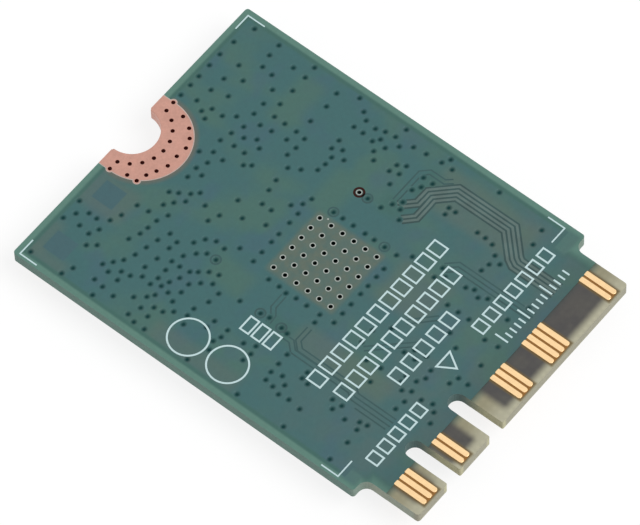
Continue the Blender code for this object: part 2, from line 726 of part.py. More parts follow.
def make_radio_chip(finishes, parent):
    """The moulded package with a row of terminals on each side, and its heat pad in a pocket."""
    seat = (0.0, 0.0, SOLDER_GAP)
    half = CHIP_SIDE / 2
    body = bmesh.new()
    height = CHIP_HEIGHT - CHIP_STANDOFF
    add_box(body, (0.0, 0.0, CHIP_STANDOFF + height / 2), (CHIP_SIDE, CHIP_SIDE, height))
    top = [
        edge for edge in body.edges
        if all(vert.co.z > CHIP_HEIGHT - CHIP_CHAMFER for vert in edge.verts)
    ]
    bmesh.ops.bevel(
        body,
        geom=top,
        offset=CHIP_CHAMFER,
        offset_type="OFFSET",
        affect="EDGES",
        segments=1,
        profile=0.5,
        material=-1,
    )
    chip = add_object("radio_chip", body, finishes["chip"], parent, seat)

    terminals = bmesh.new()
    row = CHIP_SIDE - 2 * CHIP_TERMINAL_ZONE
    step = row / (TERMINAL_COUNT - 1)
    reach = half - TERMINAL_LENGTH / 2 + CHIP_STANDOFF
    for index in range(TERMINAL_COUNT):
        along = -row / 2 + index * step
        for side in (-1, 1):
            place = (along, side * reach, TERMINAL_THICKNESS / 2)
            add_box(terminals, place, (TERMINAL_WIDTH, TERMINAL_LENGTH, TERMINAL_THICKNESS))
            place = (side * reach, along, TERMINAL_THICKNESS / 2)
            add_box(terminals, place, (TERMINAL_LENGTH, TERMINAL_WIDTH, TERMINAL_THICKNESS))
    combine(chip, add_object("radio_terminals", terminals, None, parent, seat), "UNION")

    pocket = bmesh.new()
    pocket_side = HEAT_PAD_SIDE + 2 * SOLDER_GAP
    pocket_top = HEAT_PAD_THICKNESS + SOLDER_GAP
    add_box(pocket, (0.0, 0.0, 0.0), (pocket_side, pocket_side, 2 * pocket_top))
    dot = half - CHIP_TERMINAL_ZONE
    add_drum(
        pocket,
        (dot, dot, CHIP_HEIGHT),
        PIN_ONE_DOT,
        -PIN_ONE_DEPTH,
        PIN_ONE_DEPTH,
        RIM_SIDES,
    )
    combine(chip, add_object("radio_pocket", pocket, None, parent, seat), "DIFFERENCE")

    pad = bmesh.new()
    place = (0.0, 0.0, HEAT_PAD_THICKNESS / 2)
    add_box(pad, place, (HEAT_PAD_SIDE, HEAT_PAD_SIDE, HEAT_PAD_THICKNESS))
    add_object("radio_heat_pad", pad, finishes["copper"], parent, seat)


def chip_package(size):
    """A moulded leadless package with chamfered top edges."""
    shape = bmesh.new()
    add_box(shape, (0.0, 0.0, size[2] / 2), size)
    top = [edge for edge in shape.edges if all(vert.co.z > size[2] / 2 for vert in edge.verts)]
    bmesh.ops.bevel(
        shape,
        geom=top,
        offset=CHIP_CHAMFER,
        offset_type="OFFSET",
        affect="EDGES",
        segments=1,
        profile=0.5,
        material=-1,
    )
    return shape


def capped_block(size):
    """A ceramic block whose two plated ends stand slightly proud of its middle."""
    length, width, height = size
    cap = length * END_CAP_SHARE
    stations = (
        (-length / 2, 0.0),
        (-length / 2 + cap, 0.0),
        (-length / 2 + cap, END_CAP_STEP),
        (length / 2 - cap, END_CAP_STEP),
        (length / 2 - cap, 0.0),
        (length / 2, 0.0),
    )
    shape = bmesh.new()
    rings = []
    for x, inset in stations:
        half = width / 2 - inset
        corners = ((-half, inset), (half, inset), (half, height - inset), (-half, height - inset))
        rings.append([shape.verts.new((x, y, z)) for y, z in corners])
    skin(shape, rings, closed=False)
    return shape


def spread(widths, gap):
    """Middles of parts of the given widths, side by side about zero."""
    start = -(sum(widths) + gap * (len(widths) - 1)) / 2
    middles = []
    for width in widths:
        middles.append(start + width / 2)
        start += width + gap
    return middles


def make_small_parts(finishes, parent):
    """The rows of parts round the radio chip."""
    half = CHIP_SIDE / 2
    ends = finishes["ceramic"]

    widths = [FRONT_END_SIZE[0], FILTER_SIZE[1], FILTER_SIZE[1], FRONT_END_SIZE[0]]
    places = spread(widths, PART_SPACING)
    row = half + PART_SPACING + max(FRONT_END_SIZE[1], FILTER_SIZE[0]) / 2
    for name, x in (("front_end_main", places[3]), ("front_end_aux", places[0])):
        shape = chip_package(FRONT_END_SIZE)
        add_object(name, shape, finishes["chip"], parent, (x, row, SOLDER_GAP))
    for name, x in (("band_filter_main", places[2]), ("band_filter_aux", places[1])):
        shape = capped_block(FILTER_SIZE)
        add_object(name, shape, ends, parent, (x, row, SOLDER_GAP), math.pi / 2)

    widths = [MEMORY_SIZE[0], POWER_CHIP_SIZE[0], INDUCTOR_SIZE[1], INDUCTOR_SIZE[1]]
    places = spread(widths, PART_SPACING)
    deepest = max(MEMORY_SIZE[1], POWER_CHIP_SIZE[1], INDUCTOR_SIZE[0])
    row = -(half + PART_SPACING + deepest / 2)
    shape = chip_package(MEMORY_SIZE)
    add_object("memory_chip", shape, finishes["chip"], parent, (places[0], row, SOLDER_GAP))
    shape = chip_package(POWER_CHIP_SIZE)
    add_object("power_chip", shape, finishes["chip"], parent, (places[1], row, SOLDER_GAP))
    for name, x in (("power_inductor_a", places[2]), ("power_inductor_b", places[3])):
        shape = capped_block(INDUCTOR_SIZE)
        add_object(name, shape, finishes["ferrite"], parent, (x, row, SOLDER_GAP), math.pi / 2)

    column = half + PART_SPACING + CAPACITOR_SIZE[0] / 2
    heights = spread([CAPACITOR_SIZE[1]] * CAPACITORS_PER_COLUMN, CAPACITOR_SPACING)
    for side, side_name in ((-1, "left"), (1, "right")):
        for number, y in enumerate(heights, start=1):
            name = f"capacitor_{side_name}_{number}"
            shape = capped_block(CAPACITOR_SIZE)
            add_object(name, shape, ends, parent, (side * column, y, SOLDER_GAP))

    crystal_x = column + CAPACITOR_SIZE[0] / 2 + PART_SPACING + CRYSTAL_SIZE[0] / 2
    base_height = CRYSTAL_SIZE[2] - CRYSTAL_LID_SHEET - SOLDER_GAP
    shape = bmesh.new()
    add_box(shape, (0.0, 0.0, base_height / 2), (CRYSTAL_SIZE[0], CRYSTAL_SIZE[1], base_height))
    seat = (crystal_x, 0.0, SOLDER_GAP)
    add_object("crystal_base", shape, ends, parent, seat)
    shape = bmesh.new()
    lid_x = CRYSTAL_SIZE[0] - 2 * CRYSTAL_LID_INSET
    lid_y = CRYSTAL_SIZE[1] - 2 * CRYSTAL_LID_INSET
    lid_z = CRYSTAL_SIZE[2] - CRYSTAL_LID_SHEET / 2
    add_box(shape, (0.0, 0.0, lid_z), (lid_x, lid_y, CRYSTAL_LID_SHEET))
    add_object("crystal_lid", shape, finishes["steel"], parent, seat)


def main():
    clear_scene()
    finishes = {
        "board": material("green solder mask on glass epoxy", (0.10, 0.21, 0.19), 0.35),
        "steel": material("tinned sheet steel", (0.55, 0.56, 0.57), 0.3, 1.0),
        "gold": material("gold plate on brass", (0.85, 0.62, 0.30), 0.25, 1.0),
        "copper": material("bare copper", (0.66, 0.34, 0.26), 0.35, 1.0),
        "moulding": material("cream connector moulding", (0.75, 0.70, 0.58), 0.5),
        "chip": material("black moulding compound", (0.03, 0.03, 0.035), 0.55),
        "ceramic": material("tan ceramic with tinned ends", (0.45, 0.33, 0.22), 0.4),
        "ferrite": material("grey ferrite", (0.12, 0.12, 0.13), 0.6),
    }
    component_side = bpy.data.objects.new("component_side", None)
    component_side.location = (0.0, 0.0, CAN_HEIGHT)
    component_side.rotation_euler = (0.0, math.pi, 0.0)
    bpy.context.scene.collection.objects.link(component_side)

    make_board(finishes["board"])
    make_frame(finishes["steel"], component_side)
    make_lid(finishes["steel"], component_side)
    make_radio_chip(finishes, component_side)
    make_small_parts(finishes, component_side)
    socket_y = END_Y - SOCKET_END_INSET
    main_x = BOARD_HALF - SOCKET_EDGE_INSET
    aux_x = LAND_RADIUS + SOCKET_LAND_GAP + SOCKET_SIZE / 2
    make_socket("main_socket", main_x, socket_y, finishes, component_side)
    make_socket("aux_socket", aux_x, socket_y, finishes, component_side)


main()
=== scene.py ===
"""Finishes for a laptop's wireless card: mask, bare copper, gold contacts, tracks, ink and shield."""

import math

import bmesh
import bpy
from mathutils import Matrix, Vector


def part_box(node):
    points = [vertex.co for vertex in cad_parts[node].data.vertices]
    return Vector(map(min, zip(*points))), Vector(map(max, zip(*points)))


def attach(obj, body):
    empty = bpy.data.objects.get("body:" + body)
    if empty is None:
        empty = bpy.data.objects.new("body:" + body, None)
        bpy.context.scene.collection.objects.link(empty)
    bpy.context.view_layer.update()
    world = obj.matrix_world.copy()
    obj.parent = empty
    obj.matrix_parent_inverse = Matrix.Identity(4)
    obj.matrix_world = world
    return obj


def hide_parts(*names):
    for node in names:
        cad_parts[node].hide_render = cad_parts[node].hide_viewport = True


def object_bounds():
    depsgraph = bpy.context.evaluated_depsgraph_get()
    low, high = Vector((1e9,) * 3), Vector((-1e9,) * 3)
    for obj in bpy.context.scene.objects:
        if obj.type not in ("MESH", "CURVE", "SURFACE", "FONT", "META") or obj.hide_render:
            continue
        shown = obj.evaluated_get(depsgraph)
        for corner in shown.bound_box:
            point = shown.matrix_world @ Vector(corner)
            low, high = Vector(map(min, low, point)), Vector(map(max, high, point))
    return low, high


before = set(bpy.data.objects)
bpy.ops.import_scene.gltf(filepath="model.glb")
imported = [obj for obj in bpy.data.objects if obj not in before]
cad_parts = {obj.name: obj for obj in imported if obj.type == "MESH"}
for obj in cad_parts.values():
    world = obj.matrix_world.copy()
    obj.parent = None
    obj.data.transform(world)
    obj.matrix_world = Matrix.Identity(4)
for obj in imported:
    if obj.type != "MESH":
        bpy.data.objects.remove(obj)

bl_info = {
    "name": "Wireless Card Finishes",
    "version": (1, 0, 0),
    "blender": (4, 5, 0),
    "location": "View3D > Sidebar > Card",
    "description": "Dresses a wireless card with its solder mask, copper, gold, ink and sheet steel",
    "category": "Object",
}

MM = 0.001
# Points nearer than the first are one, and edges shorter than the second are dropped
MERGE = 0.0001 * MM
SLIVER = 0.00001 * MM
# An edge whose direction climbs more than this stands upright
UPRIGHT = 0.99

CAD_LOW, CAD_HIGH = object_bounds()
BOARD_LOW, BOARD_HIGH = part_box("printed_board")
FRAME_LOW, FRAME_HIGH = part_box("shield_frame")

# Places on the solder face are (x from the middle, y from the connector's tip), in millimetres
TIP_Y = BOARD_LOW.y
HALF_WIDTH = BOARD_HIGH.x / MM
LENGTH = (BOARD_HIGH.y - BOARD_LOW.y) / MM
COPPER = 0.035 * MM
BACK = BOARD_HIGH.z - COPPER
FRONT = BOARD_LOW.z + COPPER

# Routed outline
SHOULDER_WIDTH = 1.075
TONGUE_LENGTH = 4.0
CORNER = 0.2
SHOULDER_FILLET = 0.6
KEY_WIDTH = 1.2
KEY_DEPTH = 3.5
KEY_MOUTH = 0.1
KEY_MIDDLES = (-6.625, -2.625)
SEAT_CENTRE = (0.0, 29.9)
SEAT_RADIUS = 1.75
SEAT_MOUTH = 1.87
LAND_CENTRE = (0.0, 29.03)
LAND_RADIUS = 3.01
CORNER_SEGMENTS = 6
ROUND_SEGMENTS = 64
HOLE_SEGMENTS = 16
DIP_SEGMENTS = 10

# Contacts: number 38 is at the middle, and neighbours on one face are two numbers apart; the middle of
# their row is measured from the connector's tip
MIDDLE_PIN = 38
PIN_STEP = 0.25
ROW_MIDDLE = 1.3
BACK_PINS = ((2, 6), (16, 18), (38, 42), (50, 56), (72, 74))
FRONT_PINS = ((1, 7), (33, 57), (63, 63), (69, 69), (75, 75))

# Bare drilled holes: two rows round the half-moon, a square grid under the radio chip and one test hole
SEAT_INNER_COUNT = 9
SEAT_INNER_STEP = 18.0
SEAT_INNER_RADIUS = 2.42
SEAT_OUTER_ANGLES = (193.3, 214.2, 223.9, 234.2, 245.8, 258.9, 273.5, 286.4, 298.0, 309.8, 325.3, 346.8)
SEAT_OUTER_RADII = (3.03, 3.2, 3.61, 3.33, 3.29, 3.36, 3.3, 3.5, 3.51, 3.41, 3.16, 3.08)
GRID_CENTRE = (0.0, 15.0)
GRID_ROWS = 6
GRID_PITCH = 0.87
TEST_HOLE = (5.02, 16.45)
SPECK = (2.42, 16.74)
# The floor of a covered via's dip, as a share of its radius
VIA_FLOOR = 0.25

# Holes covered by the mask, as (x, y), area by area
VIAS_BY_SCREW_LEFT = (
    (-10.3, 29.2), (-7.3, 29.2), (-5.8, 29.2), (-6.6, 28.8), (-7.1, 28.1), (-6.1, 28.2), (-6.1, 27.6),
    (-7.2, 27.3), (-7.9, 26.9), (-6.6, 27.0), (-5.7, 26.9), (-5.0, 26.6), (-3.9, 26.3), (-10.3, 26.8),
    (-9.6, 26.5), (-7.5, 26.4), (-3.8, 25.5), (-8.3, 25.3), (-9.4, 25.0), (-6.0, 25.2), (-5.3, 24.9),
    (-4.7, 24.8), (-4.0, 24.7), (-7.8, 24.9), (-8.5, 24.7), (-7.3, 24.5), (-10.3, 24.4), (-9.5, 24.3),
    (-8.0, 24.1), (-6.6, 24.2), (-5.8, 24.0), (-5.0, 23.8), (-4.2, 23.5), (-8.6, 23.9), (-7.9, 23.5),
    (-9.6, 23.4), (-6.9, 23.2), (-7.5, 22.9), (-6.0, 23.0), (-5.0, 22.9), (-4.4, 22.8), (-8.9, 22.4),
    (-5.6, 22.2),
)
VIAS_BY_SCREW_RIGHT = (
    (3.7, 29.2), (4.6, 29.2), (5.4, 29.2), (6.4, 29.2), (7.4, 29.2), (8.6, 29.1), (10.1, 28.7),
    (4.0, 28.2), (5.1, 28.0), (6.2, 27.9), (7.5, 27.8), (4.1, 27.1), (5.4, 26.9), (6.8, 26.9),
    (8.3, 26.6), (9.2, 26.8), (10.1, 26.8), (4.1, 26.3), (8.2, 25.8), (4.6, 25.6), (3.5, 25.1),
    (4.3, 24.8), (5.4, 24.9), (6.3, 24.9), (7.4, 25.1), (9.4, 25.1), (3.7, 24.3), (5.0, 24.1),
    (6.0, 23.8), (6.9, 24.1), (8.1, 24.1), (9.3, 24.1), (10.2, 24.1), (4.1, 23.6), (5.1, 23.3),
    (3.7, 23.1), (6.0, 23.0),
)
VIAS_BELOW_SEAT = (
    (-3.3, 24.4), (-2.9, 25.1), (-2.4, 24.7), (-2.0, 25.4), (-1.7, 24.9), (-1.9, 24.2), (-1.3, 24.3),
    (-0.9, 23.9), (-1.4, 23.1), (-2.1, 22.3), (-0.5, 25.2), (0.3, 25.2), (0.1, 24.6), (1.0, 24.9),
    (1.3, 25.8), (1.8, 25.1), (1.7, 24.3), (3.3, 27.0), (3.6, 27.5), (2.7, 25.3), (2.9, 24.4),
    (2.9, 23.6), (2.2, 23.1), (2.5, 22.7),
)
VIAS_ABOVE_GRID = (
    (-3.8, 22.0), (-3.2, 21.6), (-2.9, 21.0), (-3.0, 20.3), (-3.9, 20.9), (-3.9, 20.2), (-2.4, 19.6),
    (-1.4, 22.0), (0.1, 21.8), (-0.7, 20.8), (0.8, 20.5), (0.8, 19.8), (-0.2, 19.4), (1.8, 20.8),
    (2.6, 20.9), (1.8, 19.1), (2.3, 18.6), (-2.6, 18.4), (-1.8, 18.4), (-0.9, 18.4), (-0.2, 18.4),
    (0.8, 18.4), (1.6, 18.4), (2.9, 18.4),
)
VIAS_BESIDE_GRID = (
    (-3.0, 16.9), (-3.0, 16.1), (-3.1, 15.5), (-3.0, 14.8), (-3.0, 14.0), (-3.0, 13.0), (3.0, 16.8),
    (3.0, 16.1), (3.0, 15.3), (3.0, 14.4), (3.0, 13.7), (3.0, 12.9), (-2.9, 12.0), (-2.1, 12.0),
    (-1.3, 12.0), (-0.4, 12.0), (0.3, 12.0), (1.1, 12.0), (1.8, 12.0), (3.0, 12.0), (-3.6, 12.9),
)
VIAS_LEFT = (
    (-10.0, 21.9), (-10.2, 21.3), (-9.2, 21.6), (-8.4, 21.8), (-8.0, 21.5), (-7.3, 21.6), (-7.6, 22.2),
    (-7.0, 22.1), (-6.3, 22.1), (-4.9, 21.9), (-5.6, 21.6), (-6.8, 21.4), (-6.2, 21.1), (-5.5, 20.9),
    (-4.3, 21.4), (-8.7, 21.0), (-9.4, 20.9), (-7.4, 21.0), (-10.2, 20.5), (-8.6, 20.4), (-7.7, 20.4),
    (-6.9, 20.4), (-6.2, 20.4), (-5.2, 20.5), (-4.8, 20.0), (-5.7, 19.9), (-8.2, 19.9), (-4.6, 19.4),
    (-5.3, 19.3), (-7.9, 19.1), (-7.3, 19.1), (-8.5, 18.9), (-6.4, 18.7), (-5.6, 18.6), (-7.8, 17.7),
    (-7.2, 17.6), (-5.2, 17.3), (-10.2, 17.2), (-8.9, 16.6), (-8.3, 16.8), (-7.8, 16.6), (-7.2, 16.6),
    (-5.1, 15.8), (-5.0, 15.2), (-7.3, 15.3), (-8.2, 14.6), (-7.6, 14.5), (-7.0, 14.6), (-5.1, 14.2),
    (-5.2, 13.7),
)
VIAS_RIGHT = (
    (5.2, 22.2), (6.0, 22.1), (7.1, 21.9), (8.5, 21.8), (9.6, 21.9), (4.4, 21.5), (5.1, 21.4),
    (5.9, 21.4), (3.7, 20.9), (4.1, 20.2), (10.2, 20.6), (9.6, 19.8), (9.2, 19.3), (8.4, 19.6),
    (8.4, 18.9), (9.1, 18.5), (8.3, 18.1), (8.7, 17.8), (9.3, 17.9), (7.8, 17.6), (7.3, 17.2),
    (8.4, 17.2), (9.4, 17.2), (10.2, 17.0), (9.0, 16.6), (7.3, 16.0), (7.9, 15.9), (9.5, 15.9),
    (6.6, 15.4), (7.5, 15.4), (8.2, 15.4), (9.6, 15.0), (4.7, 19.4), (5.3, 19.3), (5.9, 19.3),
    (6.4, 19.7), (7.1, 19.7), (6.7, 19.1), (6.2, 18.6), (5.0, 15.8), (5.0, 14.8), (5.6, 14.4),
)
VIAS_BY_TONGUE_LEFT = (
    (-10.2, 13.4), (-8.4, 12.7), (-7.8, 12.8), (-7.1, 12.8), (-6.3, 12.8), (-8.5, 12.1), (-7.6, 12.1),
    (-8.0, 11.6), (-8.7, 11.5), (-7.0, 11.1), (-6.5, 11.1), (-8.6, 10.8), (-7.1, 10.6), (-10.2, 9.9),
    (-8.7, 9.9), (-7.0, 8.8), (-7.5, 8.4), (-7.0, 8.1), (-4.7, 7.8), (-3.6, 7.9), (-7.6, 7.4),
    (-7.2, 6.6), (-10.2, 6.4), (-8.7, 6.3), (-7.7, 6.4), (-7.1, 6.1), (-4.0, 6.0), (-3.6, 6.4),
    (-5.2, 5.5), (-4.5, 5.4), (-3.7, 5.5), (-3.8, 4.7), (-3.6, 4.0), (-4.0, 3.6), (-4.7, 3.3),
)
VIAS_BY_TONGUE_MIDDLE = (
    (3.5, 11.2), (-1.9, 9.9), (-2.9, 9.9), (3.2, 9.3), (4.0, 9.3), (3.6, 8.8), (-3.7, 8.9),
    (-1.1, 9.1), (-1.9, 7.5), (-1.4, 7.1), (-1.9, 6.7), (-1.3, 6.3), (-3.1, 6.4), (0.8, 6.2),
    (2.2, 7.5), (2.2, 6.7), (2.2, 5.9), (3.8, 7.4), (4.0, 6.9), (3.7, 6.4), (4.0, 5.9),
    (-3.0, 5.7), (-2.5, 5.4), (-1.9, 5.5), (0.2, 5.3), (-1.9, 4.1), (-1.3, 3.9), (-1.3, 3.2),
    (0.2, 3.4), (1.8, 3.4), (1.7, 4.3), (3.6, 4.1),
)
VIAS_BY_TONGUE_RIGHT = (
    (6.1, 14.0), (7.1, 14.1), (8.2, 14.1), (7.6, 13.8), (8.2, 13.4), (5.6, 13.8), (5.0, 13.4),
    (9.7, 13.9), (10.2, 13.6), (9.7, 13.1), (7.5, 11.6), (7.0, 11.5), (7.5, 11.1), (10.2, 9.9),
    (7.2, 9.2), (7.2, 8.6), (7.1, 8.0), (5.3, 7.4), (5.9, 7.3), (6.6, 7.4), (6.3, 6.8),
    (8.6, 6.1), (9.7, 6.3), (5.0, 3.6),
)
COVERED_VIAS = (
    VIAS_BY_SCREW_LEFT + VIAS_BY_SCREW_RIGHT + VIAS_BELOW_SEAT + VIAS_ABOVE_GRID + VIAS_BESIDE_GRID
    + VIAS_LEFT + VIAS_RIGHT + VIAS_BY_TONGUE_LEFT + VIAS_BY_TONGUE_MIDDLE + VIAS_BY_TONGUE_RIGHT
)
RINGED_VIAS = ((-3.9, 20.2), (3.0, 16.8), (3.0, 12.9), (-5.1, 15.8), (-5.1, 14.2), (5.0, 15.8))

# Copper tracks under the mask: the route of the middle of each bundle, then how many tracks it has
LONG_ROUTE = (
    (7.0, 12.96), (7.5, 12.96), (8.63, 11.82), (8.63, 7.82),
    (7.15, 6.35), (6.95, 6.0), (6.95, 3.0),
)
TRACK_BUNDLES = (
    (LONG_ROUTE, 4),
    (((5.1, 13.3), (5.75, 12.67), (7.05, 12.67)), 2),
    (((5.75, 14.1), (6.6, 13.25), (7.05, 13.25)), 2),
)
# Wider tracks that show only by the faint gaps beside them
LONE_TRACKS = (
    ((5.9, 14.43), (8.33, 14.43), (8.75, 14.0), (8.75, 12.9), (9.1, 12.5)),
    ((-5.3, 15.05), (-4.75, 15.1), (-4.3, 15.45), (-3.3, 15.47)),
    ((-3.2, 9.5), (-1.05, 7.25)),
    ((-0.2, 8.65), (1.2, 7.3)),
    ((-5.45, 14.0), (-5.45, 13.15), (-5.92, 12.65), (-5.92, 8.3), (-6.2, 7.9), (-6.2, 5.0)),
    ((-4.1, 12.86), (-5.15, 12.86), (-5.58, 12.4), (-5.58, 8.3), (-5.9, 7.9), (-5.9, 5.0)),
    ((-6.5, 7.4), (-6.5, 5.1)),
    ((4.0, 9.05), (4.49, 8.54), (4.49, 3.0)),
    ((4.2, 9.29), (4.79, 8.66), (4.79, 3.0)),
)
# All tracks end short of this distance from the connector's tip
TRACKS_END = 16.0

# Ink: corner brackets, two target rings, rows of blank check boxes and an insertion mark
BRACKETS = (
    ((-9.6, 29.6), (-10.8, 29.6), (-10.8, 28.3)),
    ((9.4, 29.6), (10.6, 29.6), (10.6, 28.3)),
    ((-10.8, 6.55), (-10.8, 5.3), (-9.5, 5.3)),
    ((9.4, 5.3), (10.65, 5.3), (10.65, 6.55)),
)
TARGETS = ((-9.0, 18.1), (-9.0, 15.1))
TARGET_RADIUS = 1.27
# Each row: its first box's lower left corner, box size, step from box to box, and how many
BOX_ROWS = (
    ((-6.85, 9.85), (0.78, 1.0), (1.13, 0.0), 11),
    ((-6.55, 8.08), (0.75, 0.98), (1.12, 0.0), 10),
    ((-3.75, 6.28), (0.75, 0.95), (1.2, 0.0), 5),
    ((1.95, 4.6), (0.66, 0.85), (1.03, 0.0), 7),
    ((-8.85, 3.95), (0.66, 0.82), (1.02, 0.0), 5),
    ((-6.65, 13.75), (1.05, 0.62), (0.0, 0.86), 3),
)
# Ticks: foot of the first one, height of a tall one, step, and how many; then the count from one tall
# tick to the next, and the height of the others as a share of a tall one
TICK_ROW = ((2.4, 3.1), 0.95, 0.42, 15)
TALL_TICK_STEP = 5
LOW_TICK_SHARE = 0.55
ARROW = ((-1.5, 5.4), (-0.2, 5.4), (-0.85, 4.35))

# Woven glass cloth inside the laminate: width of one thread with its gap
WEAVE = 0.45 * MM
PLIES = 4

# Inner copper planes that show through the mask, as (middle, half size, softness of the rim), the width
# of their deeper shore, and a fainter strip of copper from shoulder to shoulder, with its strength too
PLANES = (
    ((0.0, 17.26), (10.63, 12.36), 0.2),
    ((-0.35, 5.0), (9.75, 1.4), 0.7),
    ((0.0, 3.2), (9.6, 1.2), 0.7),
)
PLANE_SHORE = 0.25
PLANE_CORNERS = ((0.0, 4.7), (10.75, 0.6), 0.4, 0.7)
# Windows and openings in the planes, areas of a deeper tone, the area of the via grid, and inner copper
# that shows through the bare tongue, as (middle, half size)
SOCKET_WINDOWS = (((-8.87, 28.05), (0.73, 0.8)), ((-4.38, 28.05), (0.73, 0.78)))
BROWN_OPENINGS = (
    ((-10.1, 28.2), (0.5, 1.5)),
    ((-8.8, 29.15), (1.2, 0.5)),
    ((-4.5, 28.0), (1.3, 1.7)),
    ((-9.8, 17.0), (0.7, 3.2)),
    ((-4.8, 9.8), (0.9, 3.4)),
    ((1.6, 9.6), (1.6, 1.8)),
    ((8.3, 9.8), (1.5, 3.6)),
)
GREEN_OPENINGS = (((4.0, 17.6), (1.7, 0.9)), ((-4.2, 18.8), (0.9, 1.4)), ((7.6, 23.4), (1.9, 0.9)))
DEEP_AREAS = (((5.5, 14.1), (0.75, 0.95)), ((-5.2, 14.3), (0.7, 0.9)), ((7.9, 13.5), (1.1, 0.6)))
GRID_AREA = ((0.0, 15.0), (2.55, 2.55))
BARE_COPPER = (((-8.5, 2.1), (0.85, 1.5)), ((-4.95, 1.9), (1.1, 1.35)), ((4.0, 2.05), (5.2, 1.62)))
# The mask clears up between these distances past the screw land's edge
LAND_SHORE = (0.12, 0.42)

# Each tinned end of a small part: its share of the part's length, and its colour
CAP_SHARE = 0.25
TINNED_END = "#C4C6C7"


def linear(code):
    """An sRGB hex colour as linear RGB."""
    channels = [int(code[index:index + 2], 16) / 255.0 for index in (1, 3, 5)]
    return tuple(c / 12.92 if c <= 0.04045 else ((c + 0.055) / 1.055) ** 2.4 for c in channels)


def length(label, text, default):
    """A size property in metres, given its default in millimetres."""
    return bpy.props.FloatProperty(
        name=label, description=text, default=default * MM, min=0.0, unit="LENGTH", precision=5
    )


def colour(label, text, code):
    """A colour property, given its default as an sRGB hex value."""
    return bpy.props.FloatVectorProperty(
        name=label, description=text, default=linear(code), size=3, min=0.0, max=1.0, subtype="COLOR"
    )


class CardSizes(bpy.types.PropertyGroup):
    """Sizes of the finishes that a user would change."""

    mask_thickness: length("Mask thickness", "Height of the solder mask over the laminate", 0.02)
    mask_edge: length("Mask edge", "How far from the connector's tip the mask ends", 2.4)
    via_radius: length("Covered via radius", "Half the width of a dip in the mask over a via", 0.26)
    via_depth: length("Covered via depth", "How far the mask sinks into a via", 0.05)
    drill_radius: length("Drill radius", "Half the width of a bare drilled hole", 0.135)
    ring_width: length("Ring width", "Width of the copper ring round a bare hole", 0.06)
    land_margin: length("Land margin", "Width of the pale border round the screw land", 0.06)
    bulge_radius: length("Land bulge radius", "Half the width of the land round an outer via", 0.2)
    contact_width: length("Contact width", "Width of one gold contact", 0.35)
    contact_inset: length("Contact inset", "Gap between the connector's tip and a contact", 0.2)
    contact_length: length("Contact length", "Length of one gold contact", 2.25)
    track_width: length("Track width", "Width of one copper track under the mask", 0.16)
    track_pitch: length("Track pitch", "Distance between the middles of neighbouring tracks", 0.277)
    lone_width: length("Lone track width", "Width of a wide track on its own", 0.2)
    lone_gap: length("Lone track gap", "Width of the gap beside a wide track", 0.1)
    ink_width: length("Ink width", "Width of a printed stroke", 0.115)
    bracket_width: length("Bracket width", "Width of a corner bracket's stroke", 0.09)
    ink_thickness: length("Ink thickness", "Height of the ink over the mask", 0.01)


